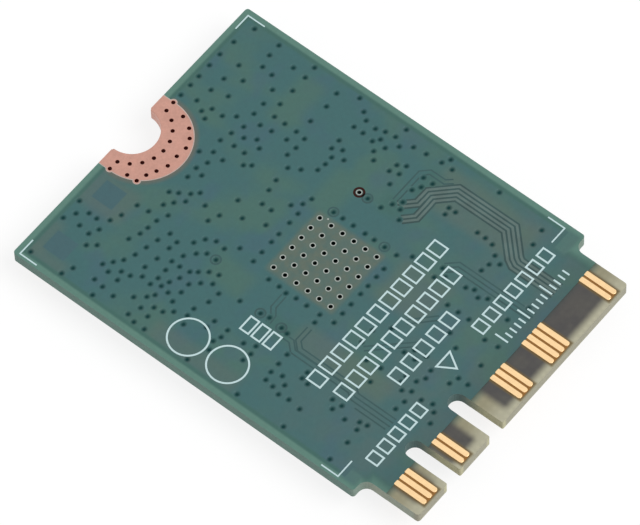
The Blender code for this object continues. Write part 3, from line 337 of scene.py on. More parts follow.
class CardColours(bpy.types.PropertyGroup):
    """Colours of the finishes that a user would change."""

    mask: colour("Mask", "Solder mask over copper", "#326061")
    mask_warm: colour("Mask, warm patches", "Warmer patches toward the connector", "#43605F")
    mask_blue: colour("Mask, blue patches", "Bluish patches of the mask", "#385A6A")
    mask_olive: colour("Mask, olive patches", "Greener patches of the mask", "#3F665A")
    mask_deep: colour("Mask, plane's rim", "Mask along the rim of the inner copper", "#305D54")
    mask_pale: colour("Mask over laminate", "Solder mask with no copper under it", "#557D71")
    mask_brown: colour("Mask over an opening", "Mask where only one inner layer has copper", "#576559")
    mask_land: colour("Mask round the land", "Mask over the bare gap round the screw land", "#595E55")
    mask_window: colour("Mask over a window", "Mask where no inner layer has copper", "#365B61")
    # Painted shade: the dip over a via is darkened for the dark hole under the thin mask
    via: colour("Covered via", "Mask sunk into a via", "#0A3737")
    track: colour("Track", "Mask over a copper track", "#556B67")
    gap: colour("Gap", "Mask in the gap beside a track", "#234443")
    shallow: colour("Shallow gap", "Mask in the gap beside a wide track or round a via", "#264C4C")
    laminate: colour("Laminate", "Bare glass epoxy at the connector's tip", "#B1AE96")
    laminate_inner: colour("Laminate, inner", "Bare glass epoxy nearer the mask", "#928D72")
    laminate_lip: colour("Laminate, lip", "Bare glass epoxy right beside the mask", "#54685A")
    # Painted shade: the shadow of the mask's edge on the bare laminate
    laminate_painted_shade: colour("Laminate, shade", "Bare glass epoxy under the edge of the mask", "#16302C")
    laminate_dark: colour("Laminate over copper", "Bare glass epoxy with copper inside", "#3B3938")
    # Partly inner copper and partly painted shade: the laminate beside and between the contacts is
    # darkened for the shade in their gaps
    contact_side_copper_and_shade: colour("Contact side", "Laminate beside a row of contacts", "#5F4A14")
    contact_gap_copper_and_shade: colour("Contact gap", "Laminate between two contacts", "#8A5C10")
    edge: colour("Routed edge", "Routed glass epoxy of the body's sides", "#719187")
    edge_side: colour("Routed edge, tongue", "Routed glass epoxy of the tongue's sides", "#AFB7A6")
    edge_tip: colour("Routed edge, tip", "Routed glass epoxy of the connector's tip", "#AFAC97")
    edge_slot: colour("Routed edge, slot", "Routed glass epoxy inside a key notch", "#CCC8A5")
    # Painted shade: the darkness at the end of a key notch stands for the shadow of the mask's edge over
    # it
    edge_slot_end_shade: colour("Routed edge, slot's end", "End of a key notch, stained by the mask", "#53706E")
    edge_seam: colour("Routed edge, seam", "Seam between two plies of glass cloth", "#5E5A50")
    copper: colour("Copper", "Bare copper land", "#C49688")
    rim: colour("Land's rim", "Bare laminate between a screw land and the mask", "#C2AEA6")
    ring: colour("Ring", "Thin copper ring round a bare hole", "#A5ABA6")
    barrel: colour("Hole", "Tarnished wall of a drilled hole", "#24403A")
    land_barrel: colour("Hole in the land", "Stained wall of a hole round the half-moon", "#811C0A")
    moat: colour("Moat", "Bare laminate round the test hole", "#3A2420")
    gold: colour("Gold", "Gold plate of the contacts", "#FAD6A3")
    ink: colour("Ink", "Marking ink", "#C6DFE1")
    steel: colour("Steel", "Tinned sheet of the shield", "#C6C8CA")
    solder: colour("Solder", "Reflowed solder of the shield and the sockets", "#C9CBCB")
    moulding: colour("Moulding", "Cream insulator of the sockets", "#E3DAC4")
    compound: colour("Compound", "Black package of a chip", "#2A2B2D")
    tan_ceramic: colour("Tan ceramic", "Middle of a capacitor", "#A88A66")
    white_ceramic: colour("White ceramic", "Middle of a band filter", "#D8D4CB")
    ferrite: colour("Ferrite", "Middle of a power inductor", "#4A4A4C")


def spot(x, y):
    """A place of the solder face in metres."""
    return (x * MM, TIP_Y + y * MM)


# Where a node has several sockets of one name they go by number. Map Range: 0 the value, 1 and 2 its
# range, 3 and 4 the result's, and for vectors 6 to 10 with output 1. Mix, for colours: 0 the factor, 6 the
# colour below, 7 the one laid over it, with output 2
def add_node(tree, kind, inputs=None, output=0, **settings):
    """Add a node with its settings and links; an input takes a constant or the output that feeds it."""
    node = tree.nodes.new("ShaderNode" + kind)
    for key, value in settings.items():
        setattr(node, key, value)
    for key, value in (inputs or {}).items():
        socket = node.inputs[key]
        if isinstance(value, bpy.types.NodeSocket):
            tree.links.new(value, socket)
        else:
            socket.default_value = (*value, 1.0) if socket.type == "RGBA" else value
    return node.outputs[output]


def feed(tree, **links):
    """Link outputs to the Principled shader's sockets, whose names have underscores for spaces."""
    sockets = tree.nodes["Principled BSDF"].inputs
    for key, value in links.items():
        tree.links.new(value, sockets[key.replace("_", " ")])


def new_material(name, **constants):
    """A material with constants on its shader: the material, its tree and its object coordinates."""
    made = bpy.data.materials.new(name)
    made.use_nodes = True
    for key, value in constants.items():
        made.node_tree.nodes["Principled BSDF"].inputs[key.replace("_", " ")].default_value = value
    return made, made.node_tree, add_node(made.node_tree, "TexCoord", output="Object")


def cloud(tree, place, size, low, high, band=(0.3, 0.7), detail=2.0, stretch=(1.0, 1.0, 1.0)):
    """Soft blobs about a size in millimetres wide, from low to high; stretch draws them out."""
    scale = tuple(1.0 / (size * MM * part) for part in stretch)
    placed = add_node(tree, "Mapping", {"Vector": place, "Scale": scale})
    noise = add_node(tree, "TexNoise", {"Vector": placed, "Scale": 1.0, "Detail": detail})
    ranges = {0: noise, 1: band[0], 2: band[1], 3: low, 4: high}
    return add_node(tree, "MapRange", ranges, interpolation_type="SMOOTHSTEP")


def fade(tree, place, start, end, low, high):
    """From low to high between two distances from the connector's tip, in millimetres."""
    y = add_node(tree, "SeparateXYZ", {0: place}, "Y")
    ranges = {0: y, 1: TIP_Y + start * MM, 2: TIP_Y + end * MM, 3: low, 4: high}
    return add_node(tree, "MapRange", ranges, interpolation_type="SMOOTHSTEP")


def zone(tree, place, middle, half, soft, strength=1.0):
    """A strength inside a rectangle of the board, falling to 0 across a soft border, in millimetres."""
    away = add_node(tree, "VectorMath", {0: place, 1: (*spot(*middle), 0.0)}, operation="SUBTRACT")
    away = add_node(tree, "VectorMath", {0: away}, operation="ABSOLUTE")
    inner = [(reach - soft / 2) * MM for reach in half]
    outer = [(reach + soft / 2) * MM for reach in half]
    ranges = {6: away, 7: (*inner, 1.0), 8: (*outer, 2.0), 9: (strength, 1.0, 1.0), 10: (0.0, 0.0, 0.0)}
    cover = add_node(
        tree, "MapRange", ranges, 1, data_type="FLOAT_VECTOR", interpolation_type="SMOOTHSTEP"
    )
    sides = add_node(tree, "SeparateXYZ", {0: cover}).node.outputs
    return add_node(tree, "Math", {0: sides["X"], 1: sides["Y"]}, operation="MULTIPLY")


def past_planes(tree, place, shrink, strength):
    """A strength past the inner copper planes, drawn in by a width in millimetres, and 0 over them."""
    cover = zone(tree, place, *PLANE_CORNERS)
    for middle, half, soft in PLANES:
        part = zone(tree, place, middle, (half[0] - shrink, half[1] - shrink), soft)
        cover = add_node(tree, "Math", {0: cover, 1: part}, operation="MAXIMUM")
    return add_node(tree, "MapRange", {0: cover, 3: strength, 4: 0.0})


def mask_ripple(tree, place):
    """The faint waviness of a screened and baked coat, as a normal."""
    ripple = cloud(tree, place, 0.3, 0.0, 1.0, detail=1.0)
    return add_node(tree, "Bump", {"Height": ripple, "Distance": 0.004 * MM, "Strength": 0.3})


def mask_material(tones, sizes):
    """Liquid solder mask, screened and baked: satin, faintly clouded, paler where no copper lies under
    it and darker with painted shade where it sinks into a drilled hole, for the dark hole under the thin
    mask."""
    made, tree, place = new_material("green solder mask", IOR=1.5)
    patches = cloud(tree, place, 1.8, 0.25, 1.0, (0.32, 0.62))
    near_tip = fade(tree, place, 3.0, 17.0, 0.85, 0.0)
    warm = add_node(tree, "Math", {0: patches, 1: near_tip}, operation="MULTIPLY")
    layers = [
        (warm, tones.mask_warm),
        (cloud(tree, place, 3.1, 0.0, 0.7, (0.48, 0.7), stretch=(1.0, 1.3, 1.0)), tones.mask_olive),
        (cloud(tree, place, 2.3, 0.0, 0.4, (0.5, 0.7), stretch=(1.3, 1.0, 1.0)), tones.mask_blue),
    ]
    areas = (
        (BROWN_OPENINGS, 0.9, 0.42, tones.mask_brown),
        (GREEN_OPENINGS, 1.0, 0.7, tones.mask_olive),
        (SOCKET_WINDOWS, 0.12, 1.0, tones.mask_window),
        (DEEP_AREAS, 0.8, 0.6, tones.mask_deep),
    )
    for places, soft, strength, over in areas:
        layers += [(zone(tree, place, middle, half, soft, strength), over) for middle, half in places]
    centre = (*spot(*LAND_CENTRE), BACK)
    away = add_node(tree, "VectorMath", {0: place, 1: centre}, "Value", operation="DISTANCE")
    start, end = ((LAND_RADIUS + past) * MM for past in LAND_SHORE)
    shore = {0: away, 1: start, 2: end, 3: 1.0, 4: 0.0}
    layers.append((add_node(tree, "MapRange", shore), tones.mask_land))
    grid = {0: zone(tree, place, *GRID_AREA, 0.4), 1: cloud(tree, place, 0.5, 0.6, 1.0)}
    layers += [
        (add_node(tree, "Math", grid, operation="MULTIPLY"), tones.mask_brown),
        (past_planes(tree, place, PLANE_SHORE, 0.85), tones.mask_deep),
        (past_planes(tree, place, 0.0, 1.0), tones.mask_pale),
        (fade(tree, place, 2.4, 4.6, 0.14, 0.0), (0.0, 0.0, 0.0)),
    ]
    height = add_node(tree, "SeparateXYZ", {0: place}, "Z")
    from_core = add_node(tree, "Math", {0: height, 1: (BACK + FRONT) / 2}, operation="SUBTRACT")
    from_core = add_node(tree, "Math", {0: from_core}, operation="ABSOLUTE")
    surface = (BACK - FRONT) / 2 + sizes.mask_thickness
    depths = {0: from_core, 1: surface - sizes.via_depth, 2: surface, 3: 1.0, 4: 0.0}
    sunk = add_node(tree, "MapRange", depths)
    # Painted shade in the dips over the vias, for the dark holes under the thin mask
    layers.append((sunk, tones.via))
    tone = tones.mask
    for pattern, over in layers:
        tone = add_node(tree, "Mix", {0: pattern, 6: tone, 7: over}, 2, data_type="RGBA")
    # The filler's grains are under 0.02 mm, so they are drawn as soft specks ten times as wide
    speckle = cloud(tree, place, 0.22, 0.97, 1.03, detail=3.0)
    tone = add_node(tree, "HueSaturation", {"Color": tone, "Value": speckle})
    normal = mask_ripple(tree, place)
    shine = add_node(tree, "MapRange", {0: sunk, 3: 0.5, 4: 0.1})
    rough = cloud(tree, place, 0.8, 0.36, 0.5)
    feed(tree, Base_Color=tone, Roughness=rough, Specular_IOR_Level=shine, Normal=normal)
    return made


def track_material(name, tone, low, high):
    """Mask that follows the copper under it: lighter on a track, darker in the gap beside it."""
    made, tree, place = new_material(name, Roughness=0.42, IOR=1.5)
    base = add_node(tree, "HueSaturation", {"Color": tone, "Value": cloud(tree, place, 0.9, low, high)})
    feed(tree, Base_Color=base, Normal=mask_ripple(tree, place))
    return made


def laminate_material(name, tones, runs):
    """Bare glass epoxy of the connector: cloudy yellow-grey, woven, dark where inner copper lies in it,
    with painted shade under the mask's edge, and brown beside and between the runs of contacts, partly for
    inner copper there and partly as painted shade in their gaps."""
    made, tree, place = new_material(name, Roughness=0.5, IOR=1.55)
    layers = [
        (fade(tree, place, 0.1, 1.7, 0.0, 1.0), tones.laminate_inner),
        (fade(tree, place, 1.8, 2.5, 0.0, 0.9), tones.laminate_lip),
    ]
    wander = cloud(tree, place, 0.9, 0.94, 1.0)
    for middle, half in BARE_COPPER:
        inside = {0: zone(tree, place, middle, half, 0.6), 1: wander}
        layers.append((add_node(tree, "Math", inside, operation="MULTIPLY"), tones.laminate_dark))
    # Painted shade: the shadow that the mask's edge casts on the laminate
    layers.append((fade(tree, place, 2.1, 2.4, 0.0, 0.4), tones.laminate_painted_shade))
    # Beside and between the contacts: partly inner copper under them, partly painted shade in their gaps
    for first, last in runs:
        middle = (((first + last) / 2 - MIDDLE_PIN) * PIN_STEP, ROW_MIDDLE)
        reach = (last - first) / 2 * PIN_STEP
        layers += [
            (zone(tree, place, middle, (reach + 0.3, 1.25), 0.2, 0.9), tones.contact_side_copper_and_shade),
            (zone(tree, place, middle, (reach, 1.15), 0.1), tones.contact_gap_copper_and_shade),
        ]
    tone = tones.laminate
    for pattern, over in layers:
        tone = add_node(tree, "Mix", {0: pattern, 6: tone, 7: over}, 2, data_type="RGBA")
    threads = []
    for axis in ("X", "Y"):
        waves = {"Vector": place, "Scale": 1.0 / WEAVE / math.pi, "Distortion": 0.6}
        threads.append(add_node(tree, "TexWave", waves, bands_direction=axis))
    cloth = add_node(tree, "Math", {0: threads[0], 1: threads[1]}, operation="MULTIPLY")
    level = add_node(tree, "MapRange", {0: cloth, 3: 0.96, 4: 1.04})
    tone = add_node(tree, "HueSaturation", {"Color": tone, "Value": level})
    normal = add_node(tree, "Bump", {"Height": cloth, "Distance": 0.005 * MM, "Strength": 0.5})
    feed(tree, Base_Color=tone, Normal=normal)
    return made


def edge_material(tones):
    """Routed glass epoxy: cut fibre ends in layers, greener along the masked body than at the tongue."""
    made, tree, place = new_material("routed glass epoxy edge", Roughness=0.7, IOR=1.55)
    layers = [
        (fade(tree, place, 3.0, 4.6, 1.0, 0.0), tones.edge_side),
        (fade(tree, place, 0.15, 0.5, 1.0, 0.0), tones.edge_tip),
    ]
    # Painted shade: a key notch's walls darken toward its end, for the shadow of the mask's edge
    toward_end = fade(tree, place, 1.2, 3.3, 0.0, 1.0)
    slot = {0: toward_end, 6: tones.edge_slot, 7: tones.edge_slot_end_shade}
    slot = add_node(tree, "Mix", slot, 2, data_type="RGBA")
    layers += [
        (zone(tree, place, (middle, KEY_DEPTH / 2), (KEY_WIDTH * 0.75, KEY_DEPTH / 2 + 0.1), 0.2), slot)
        for middle in KEY_MIDDLES
    ]
    height = add_node(tree, "SeparateXYZ", {0: place}, "Z")
    ply = (BACK - FRONT) / PLIES
    seams = {0: height, 1: FRONT + ply / 2, 2: FRONT + ply * 1.5}
    seams = add_node(tree, "MapRange", seams, clamp=False)
    seams = add_node(tree, "Math", {0: seams, 1: 1.0}, operation="PINGPONG")
    seams = add_node(tree, "MapRange", {0: seams, 1: 0.9, 2: 1.0, 3: 0.0, 4: 0.3})
    layers.append((seams, tones.edge_seam))
    tone = tones.edge
    for pattern, over in layers:
        tone = add_node(tree, "Mix", {0: pattern, 6: tone, 7: over}, 2, data_type="RGBA")
    tone = add_node(tree, "HueSaturation", {"Color": tone, "Value": cloud(tree, place, 0.7, 0.96, 1.04)})
    # A glass fibre is 0.009 mm thick, too fine to show, so its cut ends are drawn five times as wide
    fibre = cloud(tree, place, 0.05, 0.92, 1.05, stretch=(1.0, 1.0, 5.0))
    tone = add_node(tree, "HueSaturation", {"Color": tone, "Value": fibre})
    normal = add_node(tree, "Bump", {"Height": fibre, "Distance": 0.03 * MM, "Strength": 0.5})
    feed(tree, Base_Color=tone, Normal=normal)
    return made


def copper_material(tones):
    """Bare copper with a clear organic coat: pinkish, matt from etching, a little cloudy."""
    made, tree, place = new_material("bare etched copper", Metallic=1.0)
    stain = cloud(tree, place, 0.9, 0.96, 1.02)
    tone = add_node(tree, "HueSaturation", {"Color": tones.copper, "Value": stain})
    # Etching leaves grains of 0.01 mm, which are drawn ten times as wide to show
    grit = cloud(tree, place, 0.14, 0.95, 1.03, detail=3.0)
    tone = add_node(tree, "HueSaturation", {"Color": tone, "Value": grit})
    etched = cloud(tree, place, 0.1, 0.0, 1.0)
    normal = add_node(tree, "Bump", {"Height": etched, "Distance": 0.003 * MM, "Strength": 0.3})
    feed(tree, Base_Color=tone, Roughness=cloud(tree, place, 0.3, 0.38, 0.55), Normal=normal)
    return made


def mottled_material(name, tone, size, low, high, stretch=(1.0, 1.0, 1.0), **constants):
    """A material of one tone, varied by soft blobs about a size in millimetres wide."""
    made, tree, place = new_material(name, **constants)
    mottle = cloud(tree, place, size, low, high, stretch=stretch)
    feed(tree, Base_Color=add_node(tree, "HueSaturation", {"Color": tone, "Value": mottle}))
    return made


def ring_material(tones):
    """A copper ring so thin that its bright etched rims show most: pale and frosted."""
    return mottled_material("thin copper ring", tones.ring, 0.3, 0.92, 1.03, Metallic=1.0, Roughness=0.5)


def barrel_material(name, tone):
    """The wall of a drilled hole or a moat: dull and stained, where light hardly reaches."""
    return mottled_material(name, tone, 0.08, 0.8, 1.1, Metallic=1.0, Roughness=0.6)


def rim_material(tones):
    """Laminate showing between the copper and the mask: a pale pinkish-grey line."""
    return mottled_material("bare laminate rim", tones.rim, 0.15, 0.92, 1.03, Roughness=0.5, IOR=1.55)


def gold_material(name, tones, roughness):
    """Electroplated gold over nickel: satin, with faint lengthwise rubbing marks."""
    made, tree, place = new_material(name, Metallic=1.0)
    haze = cloud(tree, place, 0.25, 0.97, 1.01)
    tone = add_node(tree, "HueSaturation", {"Color": tones.gold, "Value": haze})
    # Rubbing marks are 0.005 mm wide, and are drawn ten times as wide to show
    along = (1.0, 14.0, 1.0)
    rubbed = cloud(tree, place, 0.05, roughness - 0.08, roughness + 0.1, stretch=along)
    normal = add_node(tree, "Bump", {"Height": rubbed, "Distance": 0.005 * MM, "Strength": 0.5})
    feed(tree, Base_Color=tone, Roughness=rubbed, Normal=normal)
    return made


def ink_material(tones):
    """Screened epoxy marking ink: pale, matt, thinner in small pinholes."""
    made, tree, place = new_material("epoxy marking ink", Roughness=0.6, IOR=1.5)
    thin = cloud(tree, place, 0.09, 0.0, 0.35, (0.62, 0.75))
    tone = add_node(tree, "Mix", {0: thin, 6: tones.ink, 7: tones.mask}, 2, data_type="RGBA")
    feed(tree, Base_Color=tone)
    return made


def steel_material(name, tones, roughness):
    """Tinned steel sheet, stamped: bright satin with fine rolling lines and a soft spangle."""
    made, tree, place = new_material(name, Metallic=1.0)
    spangle = cloud(tree, place, 1.4, 0.96, 1.01)
    tone = add_node(tree, "HueSaturation", {"Color": tones.steel, "Value": spangle})
    # Rolling lines are 0.01 mm apart, and are drawn six times as wide to show
    along = (1.0, 40.0, 1.0)
    rolled = cloud(tree, place, 0.06, 0.97, 1.01, detail=3.0, stretch=along)
    tone = add_node(tree, "HueSaturation", {"Color": tone, "Value": rolled})
    rough = cloud(tree, place, 0.06, roughness - 0.06, roughness + 0.1, detail=3.0, stretch=along)
    normal = add_node(tree, "Bump", {"Height": rough, "Distance": 0.006 * MM, "Strength": 0.5})
    feed(tree, Base_Color=tone, Roughness=rough, Normal=normal)
    return made


def solder_material(tones):
    """Reflowed tin solder: bright, slightly frosted."""
    made, tree, place = new_material("reflowed tin solder", Metallic=1.0, Roughness=0.3)
    # The frost's crystals are 0.02 mm wide, and are drawn ten times as wide to show
    frost = cloud(tree, place, 0.2, 0.9, 1.0)
    tone = add_node(tree, "HueSaturation", {"Color": tones.solder, "Value": frost})
    wavy = cloud(tree, place, 0.12, 0.0, 1.0)
    normal = add_node(tree, "Bump", {"Height": wavy, "Distance": 0.01 * MM, "Strength": 0.3})
    feed(tree, Base_Color=tone, Normal=normal)
    return made


def moulding_material(tones):
    """Injection moulded liquid crystal polymer: cream, dull, faintly flow-marked."""
    along = (1.0, 3.0, 1.0)
    name = "cream moulded polymer"
    return mottled_material(name, tones.moulding, 0.35, 0.96, 1.01, along, Roughness=0.55, IOR=1.5)


def compound_material(tones):
    """Black epoxy moulding compound: matt, filled with fine silica."""
    made, tree, place = new_material("black moulding compound", Roughness=0.6, IOR=1.5)
    # Silica grains are 0.03 mm at most, and are drawn twice as wide to show
    grit = cloud(tree, place, 0.06, 0.92, 1.1, detail=3.0)
    tone = add_node(tree, "HueSaturation", {"Color": tones.compound, "Value": grit})
    normal = add_node(tree, "Bump", {"Height": grit, "Distance": 0.02 * MM, "Strength": 0.5})
    feed(tree, Base_Color=tone, Normal=normal)
    return made


def capped_material(name, middle, axis, node):
    """Fired ceramic or ferrite with bright tinned ends. One node gives their places, and the others that
    wear the finish lie beside it or mirrored across the card."""
    low, high = (getattr(corner, axis.lower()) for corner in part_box(node))
    centre = (low + high) / 2
    reach = (high - low) / 2 * (1.0 - 2 * CAP_SHARE)
    made, tree, place = new_material(name, Roughness=0.4)
    along = add_node(tree, "SeparateXYZ", {0: place}, axis)
    if axis == "X":
        along = add_node(tree, "Math", {0: along}, operation="ABSOLUTE")
        centre = abs(centre)
    away = add_node(tree, "Math", {0: along, 1: centre}, operation="SUBTRACT")
    away = add_node(tree, "Math", {0: away}, operation="ABSOLUTE")
    end = add_node(tree, "Math", {0: away, 1: reach}, operation="GREATER_THAN")
    fired = cloud(tree, place, 0.1, 0.93, 1.03)
    body = add_node(tree, "HueSaturation", {"Color": middle, "Value": fired})
    tone = add_node(tree, "Mix", {0: end, 6: body, 7: linear(TINNED_END)}, 2, data_type="RGBA")
    feed(tree, Base_Color=tone, Metallic=end)
    return made


def link(name, data):
    """A new object in the scene, from a mesh, a lamp or a camera."""
    item = bpy.data.objects.new(name, data)
    bpy.context.scene.collection.objects.link(item)
    return item


def keep_shape(name, shape, *materials):
    """Turn a bmesh into an object at the origin, with its materials."""
    mesh = bpy.data.meshes.new(name)
    shape.to_mesh(mesh)
    shape.free()
    for made in materials:
        mesh.materials.append(made)
    return link(name, mesh)


def close_shape(name, shape, *materials):
    """Close a bmesh into an object, its doubles merged and its normals outward."""
    bmesh.ops.remove_doubles(shape, verts=shape.verts, dist=MERGE)
    bmesh.ops.recalc_face_normals(shape, faces=shape.faces)
    return keep_shape(name, shape, *materials)


def combine(target, tool, operation):
    """Join, trim or cut by a helper shape; cut faces keep the helper's material."""
    step = target.modifiers.new(tool.name, "BOOLEAN")
    step.operation = operation
    step.solver = "EXACT"
    step.material_mode = "TRANSFER"
    step.object = tool
    return step


def settle(item, *helpers):
    """Fix the modifiers into the mesh, its normals outward, then drop the helper shapes."""
    bpy.context.view_layer.update()
    graph = bpy.context.evaluated_depsgraph_get()
    mesh = bpy.data.meshes.new_from_object(item.evaluated_get(graph))
    shape = bmesh.new()
    shape.from_mesh(mesh)
    bmesh.ops.dissolve_degenerate(shape, dist=SLIVER, edges=shape.edges)
    bmesh.ops.recalc_face_normals(shape, faces=shape.faces)
    shape.to_mesh(mesh)
    shape.free()
    spent = item.data
    item.modifiers.clear()
    item.data = mesh
    bpy.data.meshes.remove(spent)
    for helper in helpers:
        bpy.data.objects.remove(helper, do_unlink=True)
    return item


def block(shape, low, high):
    """Add a box between two corners, in metres."""
    middle = (Vector(low) + Vector(high)) / 2
    size = Vector(high) - Vector(low)
    matrix = Matrix.Translation(middle) @ Matrix.Diagonal((*size, 1.0))
    bmesh.ops.create_cube(shape, size=1.0, matrix=matrix)


def drum(shape, x, y, radius, low, high, segments, low_radius=None):
    """Add an upright drum at a place of the board; a low radius of its own makes it a cone."""
    matrix = Matrix.Translation((*spot(x, y), (low + high) / 2))
    bmesh.ops.create_cone(
        shape,
        cap_ends=True,
        segments=segments,
        radius1=radius if low_radius is None else low_radius,
        radius2=radius,
        depth=high - low,
        matrix=matrix,
    )


def pegs(name, places, radius, low, high, segments, finish):
    """Upright drums at places of the board, as one closed shape."""
    shape = bmesh.new()
    for x, y in places:
        drum(shape, x, y, radius, low, high, segments)
    return close_shape(name, shape, finish)


def lift(shape, extruded, rise):
    """Move what an extrusion made straight up."""
    moved = [item for item in extruded["geom"] if isinstance(item, bmesh.types.BMVert)]
    bmesh.ops.translate(shape, verts=moved, vec=(0.0, 0.0, rise))


def ease(shape, geom, radius, segments, affect="EDGES"):
    """Round edges, or the corners of a flat face, to a radius in millimetres."""
    bmesh.ops.bevel(
        shape,
        geom=geom,
        offset=radius * MM,
        offset_type="OFFSET",
        affect=affect,
        segments=segments,
        profile=0.5,
        material=-1,
    )


def upright_edges(shape):
    """The edges of a bmesh that stand straight up."""
    ways = ((edge, (edge.verts[0].co - edge.verts[1].co).normalized()) for edge in shape.edges)
    return [edge for edge, way in ways if abs(way.z) > UPRIGHT]


def plate(corners, low, high):
    """A plate from outline corners (x, y, radius), rounded and then raised from low to high."""
    shape = bmesh.new()
    verts = [shape.verts.new((*spot(x, y), low)) for x, y, _ in corners]
    shape.faces.new(verts)
    rounded = {}
    for vert, (_, _, radius) in zip(verts, corners):
        if radius:
            rounded.setdefault(radius, []).append(vert)
    for radius, group in rounded.items():
        ease(shape, group, radius, CORNER_SEGMENTS, "VERTICES")
    bmesh.ops.remove_doubles(shape, verts=shape.verts, dist=MERGE)
    lift(shape, bmesh.ops.extrude_face_region(shape, geom=list(shape.faces)), high - low)
    return shape


def board_corners():
    """The routed outline without its half-moon, as corners for a plate."""
    tongue = HALF_WIDTH - SHOULDER_WIDTH
    corners = [(-tongue, 0.0, CORNER)]
    for middle in KEY_MIDDLES:
        left, right = middle - KEY_WIDTH / 2, middle + KEY_WIDTH / 2
        corners += [
            (left, 0.0, KEY_MOUTH),
            (left, KEY_DEPTH, KEY_WIDTH / 2),
            (right, KEY_DEPTH, KEY_WIDTH / 2),
            (right, 0.0, KEY_MOUTH),
        ]
    corners += [
        (tongue, 0.0, CORNER),
        (tongue, TONGUE_LENGTH, SHOULDER_FILLET),
        (HALF_WIDTH, TONGUE_LENGTH, CORNER),
        (HALF_WIDTH, LENGTH, CORNER),
        (-HALF_WIDTH, LENGTH, CORNER),
        (-HALF_WIDTH, TONGUE_LENGTH, CORNER),
        (-tongue, TONGUE_LENGTH, SHOULDER_FILLET),
    ]
    return corners


def seat_cutter(low, high, radius, finish):
    """The half-moon's round cutter, with the flared mouth at the board's end."""
    cutter = pegs("seat_cutter", [SEAT_CENTRE], radius * MM, low, high, ROUND_SEGMENTS, finish)
    past_end = LENGTH + 1.0
    flare = (
        (-radius, SEAT_CENTRE[1], 0.0),
        (radius, SEAT_CENTRE[1], 0.0),
        (SEAT_MOUTH, LENGTH, 0.0),
        (SEAT_MOUTH, past_end, 0.0),
        (-SEAT_MOUTH, past_end, 0.0),
        (-SEAT_MOUTH, LENGTH, 0.0),
    )
    mouth = close_shape("seat_mouth", plate(flare, low, high), finish)
    combine(cutter, mouth, "UNION")
    return settle(cutter, mouth)


def seat_vias():
    """Places of the two rows of bare holes round the half-moon."""
    inner = []
    for index in range(SEAT_INNER_COUNT):
        angle = 270.0 + (index - (SEAT_INNER_COUNT - 1) / 2) * SEAT_INNER_STEP
        inner.append((angle, SEAT_INNER_RADIUS))
    places = []
    for angle, radius in inner + list(zip(SEAT_OUTER_ANGLES, SEAT_OUTER_RADII)):
        x = SEAT_CENTRE[0] + radius * math.cos(math.radians(angle))
        y = SEAT_CENTRE[1] + radius * math.sin(math.radians(angle))
        places.append((x, y))
    return places


def grid_vias():
    """Places of the square grid of bare holes under the radio chip."""
    steps = [(index - (GRID_ROWS - 1) / 2) * GRID_PITCH for index in range(GRID_ROWS)]
    return [(GRID_CENTRE[0] + x, GRID_CENTRE[1] + y) for x in steps for y in steps]


def drills(places, sizes, finish):
    """Through holes at the places, as a cutter."""
    past = 0.2 * MM
    low, high = BOARD_LOW.z - past, BOARD_HIGH.z + past
    return pegs("drills", places, sizes.drill_radius, low, high, HOLE_SEGMENTS, finish)


def mask_faces(sizes):
    """Heights of the mask's surface on the component face and on the solder face."""
    return FRONT - sizes.mask_thickness, BACK + sizes.mask_thickness


def wall(shape, points, low, high, closed):
    """Stand a thin wall along points in metres; a Solidify modifier later gives it its width."""
    verts = [shape.verts.new((x, y, low)) for x, y in points]
    pairs = list(zip(verts, verts[1:]))
    if closed:
        pairs.append((verts[-1], verts[0]))
    edges = [shape.edges.new(pair) for pair in pairs]
    lift(shape, bmesh.ops.extrude_edge_only(shape, edges=edges), high - low)


def stroke(shape, places, low, high, closed=False):
    """Stand a thin wall along places of the board."""
    wall(shape, [spot(x, y) for x, y in places], low, high, closed)


def ring_stroke(shape, x, y, radius, low, high, segments):
    """Stand a thin round wall at a place of the board."""
    matrix = Matrix.Translation((*spot(x, y), low))
    made = bmesh.ops.create_circle(
        shape, cap_ends=False, segments=segments, radius=radius, matrix=matrix
    )
    edges = list(dict.fromkeys(edge for vert in made["verts"] for edge in vert.link_edges))
    lift(shape, bmesh.ops.extrude_edge_only(shape, edges=edges), high - low)


def widened(name, shape, width, finish):
    """Give standing walls an even width on both sides, as a finished piece."""
    item = keep_shape(name, shape, finish)
    step = item.modifiers.new("width", "SOLIDIFY")
    step.thickness = width
    step.offset = 0.0
    step.use_even_offset = True
    return settle(item)


def offset_route(points, shift):
    """A route moved sideways by a shift in millimetres, its bends mitred."""
    ways = []
    for (x0, y0), (x1, y1) in zip(points, points[1:]):
        run = math.hypot(x1 - x0, y1 - y0)
        ways.append((-(y1 - y0) / run, (x1 - x0) / run))
    moved = []
    for index, (x, y) in enumerate(points):
        before = ways[max(index - 1, 0)]
        after = ways[min(index, len(ways) - 1)]
        reach = shift / (1.0 + before[0] * after[0] + before[1] * after[1])
        moved.append((x + (before[0] + after[0]) * reach, y + (before[1] + after[1]) * reach))
    return moved


def ribbon(shape, points, width, low, high):
    """Lay a strip of an even width, in millimetres, along a route."""
    rim = offset_route(points, width / 2) + offset_route(points, -width / 2)[::-1]
    face = shape.faces.new([shape.verts.new((*spot(x, y), low)) for x, y in rim])
    lift(shape, bmesh.ops.extrude_face_region(shape, geom=[face]), high - low)


def belong(item, slot, *nodes):
    """Ride on the card and stand for CAD nodes, which are hidden; the slot is not used."""
    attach(item, "root")
    if nodes:
        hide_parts(*nodes)


def dress(finish, *nodes):
    """Give carried-over CAD nodes a finish."""
    for name in nodes:
        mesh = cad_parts[name].data
        mesh.materials.clear()
        mesh.materials.append(finish)


